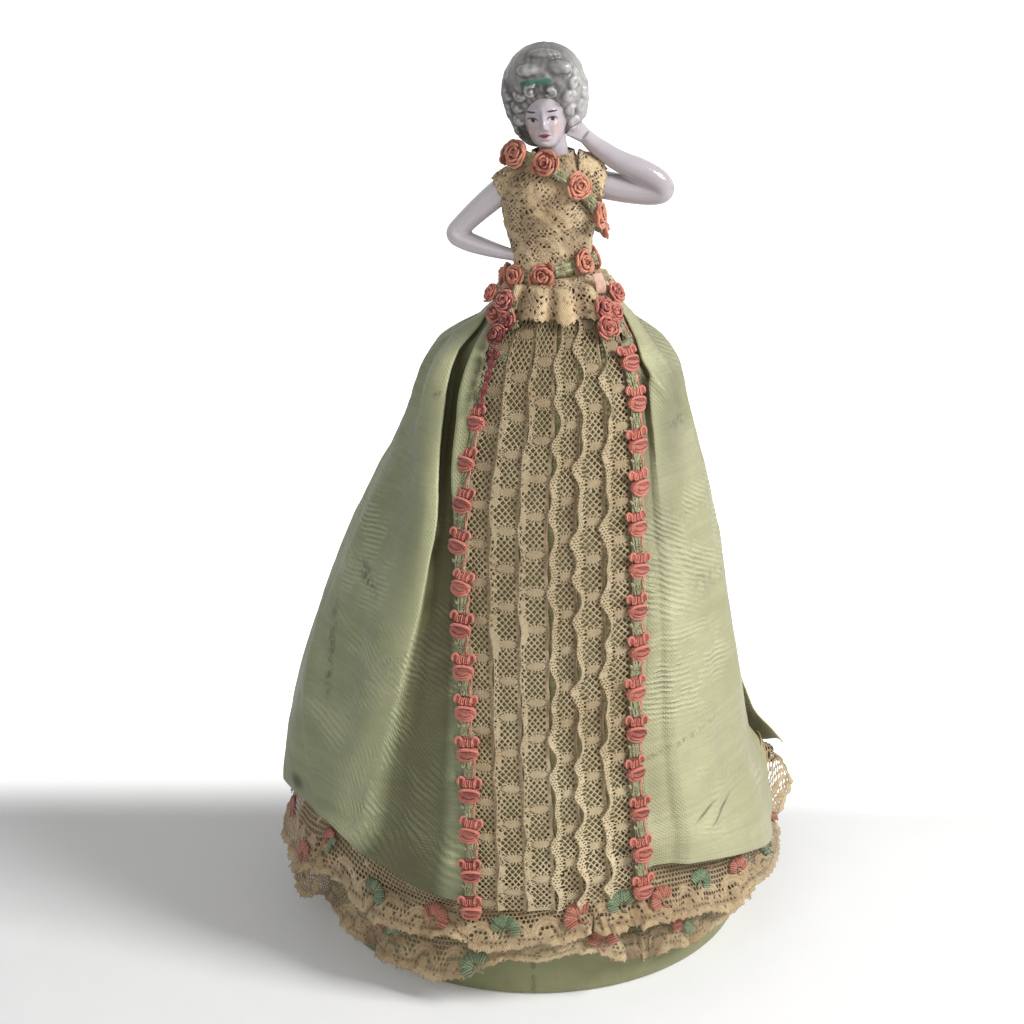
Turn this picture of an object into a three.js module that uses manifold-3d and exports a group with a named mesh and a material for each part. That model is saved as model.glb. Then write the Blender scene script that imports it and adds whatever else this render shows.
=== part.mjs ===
// A dressed half doll: a hollow glazed porcelain lady to the hips, sewn to a stuffed bell-shaped
// skirt form that stands on a round fabric-covered base.
// Millimetres, +Z up, the lady faces -Y, origin at the centre of the flat underside.
import * as THREE from 'three';
import { mergeVertices } from 'three/addons/utils/BufferGeometryUtils.js';
import Module from 'manifold-3d';

const wasm = await Module();
wasm.setup();

// Driving dimensions
const baseRadius = 78.5;
const baseHeight = 30;
const skirtHeight = 208;
const hemSpread = 5.5; // how far the skirt's hem stands out past the base
const waistHalfWidth = 15.6; // skirt cloth where it is gathered at the waist
const topDepthRatio = 0.9; // front to back over side to side, at the waist
const hemDepthRatio = 0.975; // the same at the hem
const clearance = 0.3; // between pieces that touch
const boardThickness = 2;
const clothThickness = 0.8;
const laceThickness = 0.6;
const undersideTurn = 8; // cover cloth turned in under the base
const edgeSoftness = 2; // rounding of the base's lower edge
const underskirtOverlap = 4; // underskirt hem below the top of the base
const flangeRise = 12; // flange rim below the waist seam
const flangeHalfWidth = 17.5;
const flangeHalfDepth = 13.5;
const figureWaist = 12.4; // half width of the figure's waist
const figureWaistDepth = 9.2;
const waistRise = 20; // rises are measured from the flange's rim
const bustRise = 41;
const bustHalfWidth = 15.2;
const bustHalfDepth = 12;
const shoulderRise = 51;
const shoulderHalfWidth = 13.6;
const neckHalfWidth = 4.7;
const faceHalfWidth = 7.4;
const hairHalfWidth = 14.2;
const armRadius = 4.3;
const wristRadius = 2.2;
const porcelainWall = 2;
const hipSleeve = 0.19; // share of each arm's length under its cap sleeve
const raisedSleeve = 0.22;
const neckLength = 12.4; // shoulder line to chin
const sewingHoleRadius = 1.3;
const threadRadius = 0.45;
const stripCount = 6;
const stripHem = 38; // height of the lace strips' lower ends
const frillPitch = 20;
const frillHeight = 0.6;
const valleyEase = 1; // room under the overskirt's valleys
const gatherEase = 0.5; // extra room between the gathered layers near the waist
const pleatRipple = 0.9;
const sidePleats = 5;
const backPleats = 5;
const cornerReach = 9.5; // how far the back width's loose corner swings out
const tierFlare = 8.5;
const ruffleDepth = 1.3;
const upperTierLow = 26; // heights of the two tiers' lower edges
const lowerTierLow = 12;
const upperRuffles = 12;
const lowerRuffles = 12;
const hemSteps = 48;
const bodiceLow = 17;
const bodiceHigh = 56.4;
const bodiceEase = 0.4; // between the porcelain and its lace
const shoulderEase = 0.5; // more of it over the shoulders
const peplumTop = 15.6;
const peplumFrontDrop = 12; // below the waist seam
const peplumSideDrop = 6.5;
const peplumStand = 3.1; // over the gathered skirt in front
const peplumSideStand = 4.6;
const peplumWave = 0.45;
const peplumRuffles = 12;
const tapeWidth = 3.6;
const tapeThickness = 0.7;
const rosePitch = 14.2;
const roseWidth = 6.8;
const roseLength = 8;
const roseRise = 2.6;
const roseSides = 6;
const hipRoseAngle = 1.12;
const hipBackingWidth = 4.8;
const ribbonWidth = 3.2;
const ribbonThickness = 0.5;

const waistSeam = baseHeight + skirtHeight; // height of the gathered waist
const hemHalfWidth = baseRadius + hemSpread;

// Small number helpers
const lerp = THREE.MathUtils.lerp;
const clamp = THREE.MathUtils.clamp;
const smooth = (x, from, to) => THREE.MathUtils.smoothstep(x, from, to);

// A smooth value through [place, value] stations, flat past both ends
function along(stations, place, column = 1) {
  const last = stations.length - 1;
  if (place <= stations[0][0]) return stations[0][column];
  if (place >= stations[last][0]) return stations[last][column];
  let i = 0;
  while (stations[i + 1][0] < place) i += 1;
  const slope = (k) => {
    const low = Math.max(k - 1, 0);
    const high = Math.min(k + 1, last);
    return (stations[high][column] - stations[low][column]) / (stations[high][0] - stations[low][0]);
  };
  const span = stations[i + 1][0] - stations[i][0];
  const u = (place - stations[i][0]) / span;
  const h01 = u * u * (3 - 2 * u);
  const h10 = u * (1 - u) * (1 - u);
  const h11 = u * u * (u - 1);
  const straight = lerp(stations[i][column], stations[i + 1][column], h01);
  return straight + span * (h10 * slope(i) + h11 * slope(i + 1));
}

// Geometry helpers: every one returns a closed body with its faces pointing out
function volumeOf(position, index) {
  const [a, b, c] = [new THREE.Vector3(), new THREE.Vector3(), new THREE.Vector3()];
  let volume = 0;
  for (let i = 0; i < index.length; i += 3) {
    a.fromArray(position, index[i] * 3);
    b.fromArray(position, index[i + 1] * 3);
    c.fromArray(position, index[i + 2] * 3);
    volume += a.dot(b.cross(c)) / 6;
  }
  return volume;
}

function bodyOf(points, triangles) {
  const position = points.flatMap((p) => [p.x, p.y, p.z]);
  if (volumeOf(position, triangles) < 0) {
    for (let i = 0; i < triangles.length; i += 3) {
      [triangles[i + 1], triangles[i + 2]] = [triangles[i + 2], triangles[i + 1]];
    }
  }
  const geometry = new THREE.BufferGeometry();
  geometry.setAttribute('position', new THREE.Float32BufferAttribute(position, 3));
  geometry.setIndex(triangles);
  return geometry;
}

// Faces between neighbouring rows of points; rows and columns can close on themselves
function quads(triangles, rows, columns, { closeRows = false, closeColumns = false, start = 0 } = {}) {
  const rowSteps = closeRows ? rows : rows - 1;
  const columnSteps = closeColumns ? columns : columns - 1;
  for (let r = 0; r < rowSteps; r += 1) {
    for (let c = 0; c < columnSteps; c += 1) {
      const a = start + r * columns + c;
      const b = start + r * columns + ((c + 1) % columns);
      const d = start + ((r + 1) % rows) * columns + c;
      const e = start + ((r + 1) % rows) * columns + ((c + 1) % columns);
      triangles.push(a, b, e, a, e, d);
    }
  }
}

// A solid through closed rings of points, with a cap on each end
function loft(rings) {
  const columns = rings[0].length;
  const points = rings.flat();
  const triangles = [];
  quads(triangles, rings.length, columns, { closeColumns: true });
  [rings[0], rings[rings.length - 1]].forEach((ring, end) => {
    const centre = ring.reduce((sum, p) => sum.add(p), new THREE.Vector3()).divideScalar(columns);
    const first = end * (rings.length - 1) * columns;
    points.push(centre);
    for (let c = 0; c < columns; c += 1) {
      const pair = [first + c, first + ((c + 1) % columns)];
      if (end === 0) pair.reverse();
      triangles.push(points.length - 1, ...pair);
    }
  });
  return bodyOf(points, triangles);
}

// A ring of closed sections, such as a hem or a hollow drum
function hoop(sections) {
  const triangles = [];
  quads(triangles, sections.length, sections[0].length, { closeRows: true, closeColumns: true });
  return bodyOf(sections.flat(), triangles);
}

// A sheet with two faces given as matching grids, and a wall round its edge
function sheet(front, back) {
  const rows = front.length;
  const columns = front[0].length;
  const size = rows * columns;
  const triangles = [];
  quads(triangles, rows, columns);
  const backTriangles = [];
  quads(backTriangles, rows, columns, { start: size });
  for (let i = 0; i < backTriangles.length; i += 3) {
    triangles.push(backTriangles[i], backTriangles[i + 2], backTriangles[i + 1]);
  }
  const edge = [];
  for (let c = 0; c < columns; c += 1) edge.push(c);
  for (let r = 1; r < rows; r += 1) edge.push(r * columns + columns - 1);
  for (let c = columns - 2; c >= 0; c -= 1) edge.push((rows - 1) * columns + c);
  for (let r = rows - 2; r >= 1; r -= 1) edge.push(r * columns);
  edge.forEach((a, i) => {
    const b = edge[(i + 1) % edge.length];
    triangles.push(a, a + size, b + size, a, b + size, b);
  });
  return bodyOf([...front.flat(), ...back.flat()], triangles);
}

// A limb or a thread: rings of changing radius square to a smooth path, up to a share of it
function limb(path, radii, { sides = 10, steps = 10, until = 1 } = {}) {
  const curve = new THREE.CatmullRomCurve3(path);
  const frames = curve.computeFrenetFrames(steps, false);
  const rings = [];
  for (let i = 0; i <= Math.round(steps * until); i += 1) {
    const centre = curve.getPointAt(i / steps);
    const radius = along(radii, i / steps);
    const ring = [];
    for (let k = 0; k < sides; k += 1) {
      const turn = (k / sides) * 2 * Math.PI;
      const out = frames.normals[i].clone().multiplyScalar(Math.cos(turn) * radius);
      out.addScaledVector(frames.binormals[i], Math.sin(turn) * radius);
      ring.push(centre.clone().add(out));
    }
    rings.push(ring);
  }
  return loft(rings);
}

// A closed body again from a three.js geometry: shared corners joined, slivers dropped
function weld(geometry) {
  const bare = geometry.clone();
  Object.keys(bare.attributes).filter((name) => name !== 'position').forEach((name) => {
    bare.deleteAttribute(name);
  });
  const merged = mergeVertices(bare, 1e-4);
  const corners = Array.from(merged.index.array);
  const points = Array.from({ length: merged.attributes.position.count }, (_, i) => (
    new THREE.Vector3().fromBufferAttribute(merged.attributes.position, i)
  ));
  const triangles = [];
  for (let i = 0; i < corners.length; i += 3) {
    const corner = corners.slice(i, i + 3);
    if (new Set(corner).size === 3) triangles.push(...corner);
  }
  return bodyOf(points, triangles);
}

function solidOf(geometry) {
  return new wasm.Manifold(new wasm.Mesh({
    numProp: 3,
    vertProperties: new Float32Array(geometry.attributes.position.array),
    triVerts: new Uint32Array(geometry.index.array),
  }));
}

function geometryOf(solid) {
  const mesh = solid.getMesh();
  const geometry = new THREE.BufferGeometry();
  geometry.setAttribute('position', new THREE.Float32BufferAttribute(mesh.vertProperties, 3));
  geometry.setIndex(Array.from(mesh.triVerts));
  return geometry;
}

function join(...geometries) {
  return geometryOf(geometries.map(solidOf).reduce((sum, solid) => sum.add(solid)));
}

function cut(geometry, ...tools) {
  return geometryOf(tools.map(solidOf).reduce((rest, tool) => rest.subtract(tool), solidOf(geometry)));
}

const doll = new THREE.Group();
doll.name = 'half_doll';

function addPiece(name, geometry, color, roughness) {
  geometry.computeVertexNormals();
  const mesh = new THREE.Mesh(geometry, new THREE.MeshStandardMaterial({ color, roughness, metalness: 0 }));
  mesh.name = name;
  doll.add(mesh);
}

const colours = {
  taffeta: 0x93a37a,
  brocade: 0xa9b486,
  lace: 0xc8b491,
  hemLace: 0xbfa684,
  rose: 0xcd6b58,
  porcelain: 0xd6ced3,
  card: 0x8d8474,
  stuffing: 0xb9ad92,
  thread: 0xcfc6a8,
  ribbon: 0xe0a48a,
};

// The bell of the skirt: place 0 at the waist seam and 1 at the hem.
// Columns: fullness from waist to hem width, and how far the bell sways to the lady's left.
const bellStations = [
  [0, 0, 7.5],
  [0.045, 0.07, 7.5],
  [0.11, 0.27, 5.6],
  [0.19, 0.39, 4.8],
  [0.27, 0.48, 3.8],
  [0.36, 0.585, 1.8],
  [0.48, 0.71, -0.8],
  [0.6, 0.81, -3.2],
  [0.72, 0.9, -4.8],
  [0.82, 0.965, -5.0],
  [0.9, 0.995, -4.0],
  [1, 0.99, -2.5],
];
const placeOf = (height) => (waistSeam - height) / skirtHeight;
const heightOf = (place) => waistSeam - place * skirtHeight;
const bellLevels = [0, 0.045, 0.11, 0.19, 0.33, 0.5, 0.68, 0.86, 1];

// The bell runs straight between its levels, so that its layers never cross each other
function straightAlong(place, column) {
  const held = clamp(place, 0, 1);
  const next = Math.max(1, bellLevels.findIndex((level) => level >= held));
  const [low, high] = [bellLevels[next - 1], bellLevels[next]];
  const share = (held - low) / (high - low);
  return lerp(along(bellStations, low, column), along(bellStations, high, column), share);
}

const bellHalfWidth = (place) => lerp(waistHalfWidth, hemHalfWidth, straightAlong(place, 1));
const bellSway = (place) => straightAlong(place, 2);
const bellDepthRatio = (place) => lerp(topDepthRatio, hemDepthRatio, clamp(place, 0, 1));

// A point on the bell: angle 0 is the front, positive turns to the lady's left
function onBell(angle, place, standoff) {
  const halfWidth = bellHalfWidth(place) + standoff;
  const halfDepth = bellHalfWidth(place) * bellDepthRatio(place) + standoff;
  return new THREE.Vector3(
    bellSway(place) + halfWidth * Math.sin(angle),
    -halfDepth * Math.cos(angle),
    heightOf(place),
  );
}

function angleAtX(x, place) {
  return Math.asin(clamp((x - bellSway(place)) / bellHalfWidth(place), -1, 1));
}

function bellRing(place, standoff, steps) {
  return Array.from({ length: steps }, (_, i) => onBell((i / steps) * 2 * Math.PI, place, standoff));
}

// Base: a drum covered with cloth that turns in under the edge
const baseSteps = 40;
const coverInner = baseRadius - clothThickness;
const undersideRadius = coverInner - undersideTurn;
const boardBottom = clothThickness + clearance;
const boardTop = boardBottom + boardThickness;
const insideRadius = coverInner - clearance;

function revolve(profile) {
  const outline = profile.map(([radius, height]) => new THREE.Vector2(radius, height));
  return weld(new THREE.LatheGeometry(outline, baseSteps).rotateX(Math.PI / 2));
}

function disc(radius, bottom, top) {
  return revolve([[0, bottom], [radius, bottom], [radius, top], [0, top]]);
}

function baseCover() {
  return revolve([
    [undersideRadius, 0],
    [baseRadius - edgeSoftness, 0],
    [baseRadius - edgeSoftness * 0.3, edgeSoftness * 0.3],
    [baseRadius, edgeSoftness],
    [baseRadius, baseHeight],
    [coverInner, baseHeight],
    [coverInner, edgeSoftness],
    [coverInner - edgeSoftness * 0.5, clothThickness],
    [undersideRadius, clothThickness],
    [undersideRadius, 0],
  ]);
}

addPiece('base_cover', baseCover(), colours.taffeta, 0.55);
addPiece('bottom_cover', disc(undersideRadius - clearance, 0, clothThickness), colours.taffeta, 0.6);
addPiece('base_board', disc(insideRadius - edgeSoftness / 2, boardBottom, boardTop), colours.card, 0.9);
addPiece('base_pad', disc(insideRadius, boardTop + clearance, baseHeight), colours.stuffing, 0.9);

// The figure's trunk: a stack of ovals over the flange that the skirt is sewn to.
// Columns: rise over the flange's rim, half width, half depth, sway sideways, lean forward.
const figureSeat = waistSeam - flangeRise;
const trunkStations = [
  [0, flangeHalfWidth, flangeHalfDepth, 0, 0],
  [1.6, flangeHalfWidth, flangeHalfDepth, 0, 0],
  [7, lerp(flangeHalfWidth, figureWaist, 0.5), lerp(flangeHalfDepth, figureWaistDepth, 0.5), -0.3, 0],
  [13, figureWaist + 0.8, figureWaistDepth + 0.7, -1.2, 0],
  [waistRise, figureWaist, figureWaistDepth, -1.9, 0],
  [waistRise + 7, figureWaist + 0.7, figureWaistDepth + 0.6, -2.5, 0.3],
  [bustRise - 7, lerp(figureWaist, bustHalfWidth, 0.7), bustHalfDepth - 1, -2.9, 0.9],
  [bustRise, bustHalfWidth, bustHalfDepth, -3.1, 1.3],
  [bustRise + 6, bustHalfWidth - 0.3, bustHalfDepth - 1.2, -2.9, 0.8],
  [shoulderRise, shoulderHalfWidth, bustHalfDepth - 3.4, -2.5, 0.2],
  [shoulderRise + 3, lerp(shoulderHalfWidth, neckHalfWidth, 0.45), 6.8, -2.1, 0],
  [shoulderRise + 6, neckHalfWidth + 1.1, 5.4, -1.7, 0.2],
  [shoulderRise + 10, neckHalfWidth, 4.8, -1.9, 0.8],
  [shoulderRise + 15, neckHalfWidth, 4.8, -2.9, 1.2],
];

function onTrunk(angle, rise, standoff) {
  const [width, depth, sway, lean] = [1, 2, 3, 4].map((column) => along(trunkStations, rise, column));
  return new THREE.Vector3(
    bellSway(0) + sway + (width + standoff) * Math.sin(angle),
    -lean - (depth + standoff) * Math.cos(angle),
    figureSeat + rise,
  );
}

function trunkRing(rise, standoff, steps) {
  return Array.from({ length: steps }, (_, i) => onTrunk((i / steps) * 2 * Math.PI, rise, standoff));
}

const trunkLevels = trunkStations.map(([rise]) => rise);
const trunkSteps = 20;

// Places measured from the middle of the figure's waist
function fromWaist(x, y, rise) {
  return new THREE.Vector3(bellSway(0) + x, y, figureSeat + rise);
}

// Taper of each arm. Columns: share of its length from the shoulder, radius.
const hipArmTaper = [
  [0, armRadius],
  [0.35, armRadius * 0.9],
  [0.55, armRadius * 0.82],
  [0.8, wristRadius * 1.15],
  [0.9, wristRadius],
  [1, wristRadius * 0.9],
];
const raisedArmTaper = [
  [0, armRadius],
  [0.3, armRadius * 0.9],
  [0.5, armRadius * 0.82],
  [0.75, armRadius * 0.7],
  [0.9, wristRadius],
  [1, wristRadius * 0.9],
];
const grown = (taper, grow) => taper.map(([place, radius]) => [place, radius + grow]);

// Arm on the hip, at the lady's right: shoulder, elbow thrown out, hand on the waist
function hipArm(grow = 0, until = 1) {
  const path = [
    fromWaist(-12.5, 0, 47.5),
    fromWaist(-18.5, 0.5, 45),
    fromWaist(-25.5, 1.8, 39),
    fromWaist(-32, 3, 32.6),
    fromWaist(-35, 3.2, 28.8),
    fromWaist(-32, 1.6, 26.8),
    fromWaist(-25, -2.5, 25),
    fromWaist(-18, -5.8, 23.6),
    fromWaist(-12.5 + grow, -8 - grow / 2, 22.6),
  ];
  return limb(path, grown(hipArmTaper, grow), { steps: 16, until });
}

// Raised arm, at the lady's left: elbow out and the hand behind the curls
function raisedArm(grow = 0, until = 1) {
  const path = [
    fromWaist(7, 0, 47.5),
    fromWaist(15, 0.2, 47),
    fromWaist(24, 0.4, 45.6),
    fromWaist(32, 0.2, 45),
    fromWaist(35.6, -0.4, 46.4),
    fromWaist(33.5, -1.2, 49.8),
    fromWaist(28, -1.6, 52.8),
    fromWaist(20.5, -1.6, 56.4),
    fromWaist(13.5, -1, 61.5),
    fromWaist(7.5, 0, 66.5),
  ];
  return limb(path, grown(raisedArmTaper, grow), { steps: 18, until });
}

// Head and dressed hair: ovals at rises over the chin.
// Columns: rise, half width, half depth, sway sideways, lean forward.
const chinRise = shoulderRise + neckLength;
const faceStations = [
  [0, 1.8, 2.2, 0, 5.2],
  [1.4, 3.9, 4.6, 0, 4.2],
  [4, faceHalfWidth - 1.4, 7.2, 0, 2.4],
  [8, faceHalfWidth - 0.3, 8.2, 0, 1.6],
  [12, faceHalfWidth, 8.4, 0, 1.4],
  [17, faceHalfWidth - 0.2, 8.2, 0, 1.2],
  [20, faceHalfWidth - 2, 6.5, 0, 0.8],
];
const hairStations = [
  [1.5, 6, 4.4, 0, -4.6],
  [4, hairHalfWidth - 4, 7, 0, -3.4],
  [9, hairHalfWidth - 1, 10, 0, -2.2],
  [14.5, hairHalfWidth, 12.6, 0, -0.6],
  [21, hairHalfWidth - 0.4, 13, 0, -0.2],
  [26, hairHalfWidth - 3, 11, 0, -0.2],
  [29.5, hairHalfWidth - 7, 7, 0, 0],
  [31.2, hairHalfWidth - 11.5, 2.8, 0, 0],
];
const headSway = -4.3;

function headOval(stations, rise, steps) {
  const [width, depth, sway, lean] = [1, 2, 3, 4].map((column) => along(stations, rise, column));
  return Array.from({ length: steps }, (_, i) => {
    const angle = (i / steps) * 2 * Math.PI;
    const x = headSway + sway + width * Math.sin(angle);
    return fromWaist(x, -lean - depth * Math.cos(angle), chinRise + rise);
  });
}

function curl(angle, rise, radius, forward) {
  const width = along(hairStations, rise);
  const depth = along(hairStations, rise, 2);
  const lean = along(hairStations, rise, 4);
  const centre = fromWaist(
    headSway + (width - 1.2) * Math.sin(angle),
    -lean - (depth - forward) * Math.cos(angle),
    chinRise + rise,
  );
  return weld(new THREE.SphereGeometry(radius, 7, 4).rotateX(Math.PI / 2).translate(...centre));
}

function head() {
  const face = loft(faceStations.map(([rise]) => headOval(faceStations, rise, 14)));
  const hair = loft(hairStations.map(([rise]) => headOval(hairStations, rise, 16)));
  const curls = [];
  for (const side of [-1, 1]) {
    for (let i = 0; i < 4; i += 1) {
      curls.push(curl(side * (1.15 - 0.12 * i), 2.5 + 4.3 * i, 3 - 0.1 * i, 0.6));
    }
  }
  const topKnot = [-0.5, 0, 0.5].map((angle) => curl(angle, 18.5, 2.8, 1.4));
  const nose = new THREE.ConeGeometry(1.1, 3.4, 6).rotateX(Math.PI / 2)
    .translate(...fromWaist(headSway, -10, chinRise + 7.6));
  return join(face, hair, weld(nose), ...curls, ...topKnot);
}

// Sewing holes through the flange, two in front and two behind
const holeAngle = 0.5;
const holeRise = 6.5;

function sewingHole(angle) {
  const middle = onTrunk(angle, holeRise, -porcelainWall / 2);
  const outside = onTrunk(angle, holeRise, 3);
  const drill = new THREE.CylinderGeometry(sewingHoleRadius, sewingHoleRadius, 4 * porcelainWall, 10);
  const direction = outside.clone().sub(middle).normalize();
  drill.applyQuaternion(new THREE.Quaternion().setFromUnitVectors(new THREE.Vector3(0, 1, 0), direction));
  return weld(drill.translate(middle.x, middle.y, middle.z));
}

function porcelainFigure() {
  const trunk = loft(trunkLevels.map((rise) => trunkRing(rise, 0, trunkSteps)));
  const hollowLevels = trunkLevels.filter((rise) => rise <= bustRise);
  const hollow = loft([-1, ...hollowLevels].map((rise) => {
    const ring = trunkRing(rise, -porcelainWall, trunkSteps);
    if (rise < 0) ring.forEach((p) => p.setZ(figureSeat + rise));
    return ring;
  }));
  const holes = [holeAngle, -holeAngle, Math.PI - holeAngle, Math.PI + holeAngle].map(sewingHole);
  const whole = join(trunk, hipArm(), raisedArm(), head());
  return cut(whole, hollow, ...holes);
}

addPiece('porcelain_figure', porcelainFigure(), colours.porcelain, 0.2);

// Skirt form: a stuffed bell whose shoulder carries the figure's rim, with a plug inside the flange
const skirtSteps = 36;
const formStandoff = -clothThickness - clearance;

function skirtForm() {
  const shoulder = placeOf(figureSeat - clearance);
  const between = bellLevels.filter((place) => place > shoulder && place < 1).reverse();
  const levels = [placeOf(baseHeight + clearance), ...between, shoulder];
  const body = levels.map((place) => bellRing(place, formStandoff, skirtSteps));
  const plugGap = -porcelainWall - clearance - 0.2;
  const plug = [0, 1.6, 7, flangeRise - 2].map((rise) => trunkRing(rise, plugGap, skirtSteps));
  plug[0].forEach((p) => p.setZ(figureSeat - clearance));
  return loft([...body, ...plug]);
}

addPiece('skirt_form', skirtForm(), colours.stuffing, 0.9);

// Two stitches hold the flange to the plug, each from hole to hole over the outside
function stitch(middleAngle) {
  const inside = -porcelainWall - 0.2;
  const over = threadRadius + 0.55;
  const stops = [[1, inside], [1, -0.3], [0.9, over], [0.45, over], [0, over]];
  const path = [...stops, ...stops.slice(0, -1).reverse().map(([share, out]) => [-share, out])].map(
    ([share, out]) => onTrunk(middleAngle + share * holeAngle, holeRise, out),
  );
  return limb(path, [[0, threadRadius], [1, threadRadius]], { sides: 6, steps: 12 });
}

addPiece('stitch_front', stitch(0), colours.thread, 0.8);
addPiece('stitch_back', stitch(Math.PI), colours.thread, 0.8);

// Places between the bell's levels, at most so far apart, from one place to another
function rowsBetween(from, to, step) {
  const stops = [from, ...bellLevels.filter((p) => p > from && p < to), to];
  return stops.flatMap((stop, i) => {
    if (i === 0) return [stop];
    const parts = Math.ceil(((stop - stops[i - 1]) * skirtHeight) / step);
    return Array.from({ length: parts }, (_, k) => lerp(stops[i - 1], stop, (k + 1) / parts));
  });
}

// Underskirt: one smooth layer of cloth over the form, down past the top of the base
function underskirt() {
  const places = rowsBetween(0, placeOf(baseHeight - underskirtOverlap), 60);
  const sections = Array.from({ length: skirtSteps }, (_, i) => {
    const angle = (i / skirtSteps) * 2 * Math.PI;
    return [
      ...places.map((place) => onBell(angle, place, 0)),
      ...places.slice().reverse().map((place) => onBell(angle, place, -clothThickness)),
    ];
  });
  return hoop(sections);
}

addPiece('underskirt', underskirt(), colours.taffeta, 0.5);

// Front panel between the two braids. Columns: place, left edge and right edge.
const panelStations = [
  [0, -5, 20],
  [0.045, -11, 26],
  [0.11, -16.5, 30.5],
  [0.19, -19.5, 33.5],
  [0.27, -23.5, 34.3],
  [0.36, -25.4, 34.7],
  [0.5, -24.5, 34.8],
  [0.7, -22.8, 32.9],
  [0.85, -21.6, 35.5],
  [1, -21.3, 38.3],
];
const panelEdge = (place, side) => along(panelStations, place, side < 0 ? 1 : 2);

// Height of the overskirt's hem round the bell. Columns: angle, height.
const hemStations = [
  [-Math.PI, 45],
  [-1.6, 53],
  [-1, 49],
  [-0.3, 38],
  [0.45, 46],
  [1, 43],
  [1.6, 41],
  [Math.PI, 45],
];
const hemHeight = (angle) => along(hemStations, angle);

// Layers from the bell outwards at the hem: lace strips, upper lace tier, overskirt
const upperSeat = 2 * clearance + laceThickness;
const hemStand = upperSeat + laceThickness + 2 * clearance + clothThickness / 2;

// Near the waist the panel's edges turn quickly round the bell, so its layers stand a little freer
const waistEase = (place) => gatherEase * (1 - smooth(place, 0.12, 0.26));

// Lace edgings sewn side by side down the front; each one's outer edge is frilled
const stripTop = 0.024;
const stripBottom = placeOf(stripHem);

function laceStrip(index) {
  const gathered = rowsBetween(stripTop, 0.19, 6);
  const places = [...gathered, ...rowsBetween(0.19, stripBottom, frillPitch / 2).slice(1)];
  const edgeAt = (place, share) => {
    const left = panelEdge(place, -1) + clearance;
    const right = panelEdge(place, 1) - clearance;
    return angleAtX(lerp(left, right, share), place);
  };
  const gapShare = clearance / (panelEdge(0.5, 1) - panelEdge(0.5, -1));
  const frilled = index < stripCount - 1;
  const grid = (standoff) => places.map((place, row) => [0, 0.55, 1].map((across) => {
    const share = (index + across * (1 - 2 * gapShare * stripCount)) / stripCount + gapShare;
    const open = frilled && across === 1 && place > 0.07 && place < 0.88 && row % 2 === 1;
    const raised = standoff + waistEase(place) + (open ? frillHeight : 0);
    return onBell(edgeAt(place, share), place, raised);
  }));
  return sheet(grid(clearance + laceThickness), grid(clearance));
}

for (let i = 0; i < stripCount; i += 1) {
  addPiece(`lace_strip_${i + 1}`, laceStrip(i), colours.lace, 0.85);
}

// Overskirt. Its edge lies flat beside the panel, dips in a valley, then turns over itself in a
// fold that stands forward and softens to a ridge before the hem.
// Columns: place, valley width, fold height, turn-under, share of sharp fold, and stand at the side.
const leftFold = [
  [0, 3, 0.6, 0.8, 1, 1],
  [0.045, 5, 1.8, 1.4, 1, 2],
  [0.11, 8, 6.2, 3, 1, 7.4],
  [0.29, 13, 6.4, 3, 1, 5],
  [0.5, 21, 6, 2, 0.6, 4.6],
  [0.7, 32, 5, 0, 0, 5],
  [0.9, 44, 4.4, 0, 0, 5.6],
  [1, 46, 4.2, 0, 0, 5.6],
];
const rightFold = [
  [0, 3, 0.6, 0.8, 1, 1],
  [0.045, 4.2, 1.8, 1.2, 1, 2],
  [0.11, 5.6, 5, 2.6, 1, 6.6],
  [0.25, 6.8, 4.6, 1.8, 0.8, 4.6],
  [0.42, 11, 3.6, 0, 0, 4],
  [0.7, 16, 3.8, 0, 0, 4.2],
  [1, 18, 4, 0, 0, 5],
];
// How far the overskirt's middle stands off the bell along the panel's edge
const edgeStations = [
  [0, clearance + clothThickness / 2],
  [0.8, clearance + clothThickness / 2],
  [0.9, hemStand],
  [1, hemStand],
];
const seamAngle = { left: -2.05, right: 1.9 };

// Thickens a run of points at one level, square to the run
function twoSided(run, thickness) {
  return [thickness / 2, -thickness / 2].map((offset) => run.map((p, i) => {
    const before = run[Math.max(i - 1, 0)];
    const after = run[Math.min(i + 1, run.length - 1)];
    const [dx, dy] = [after.x - before.x, after.y - before.y];
    const length = Math.hypot(dx, dy);
    return new THREE.Vector3(p.x + (offset * dy) / length, p.y - (offset * dx) / length, p.z);
  }));
}

// Rows of the overskirt: level with the waist at first, and from the last level one on they
// share out what is left down to the slanting hem
const lastLevelRow = 0.84;
const overskirtLevels = [...rowsBetween(0, 0.19, 9), 0.33, 0.5, 0.68, lastLevelRow, 0.92, 1];

function hangPlace(level, angle) {
  if (level <= lastLevelRow) return level;
  return lerp(lastLevelRow, placeOf(hemHeight(angle)), (level - lastLevelRow) / (1 - lastLevelRow));
}

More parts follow.
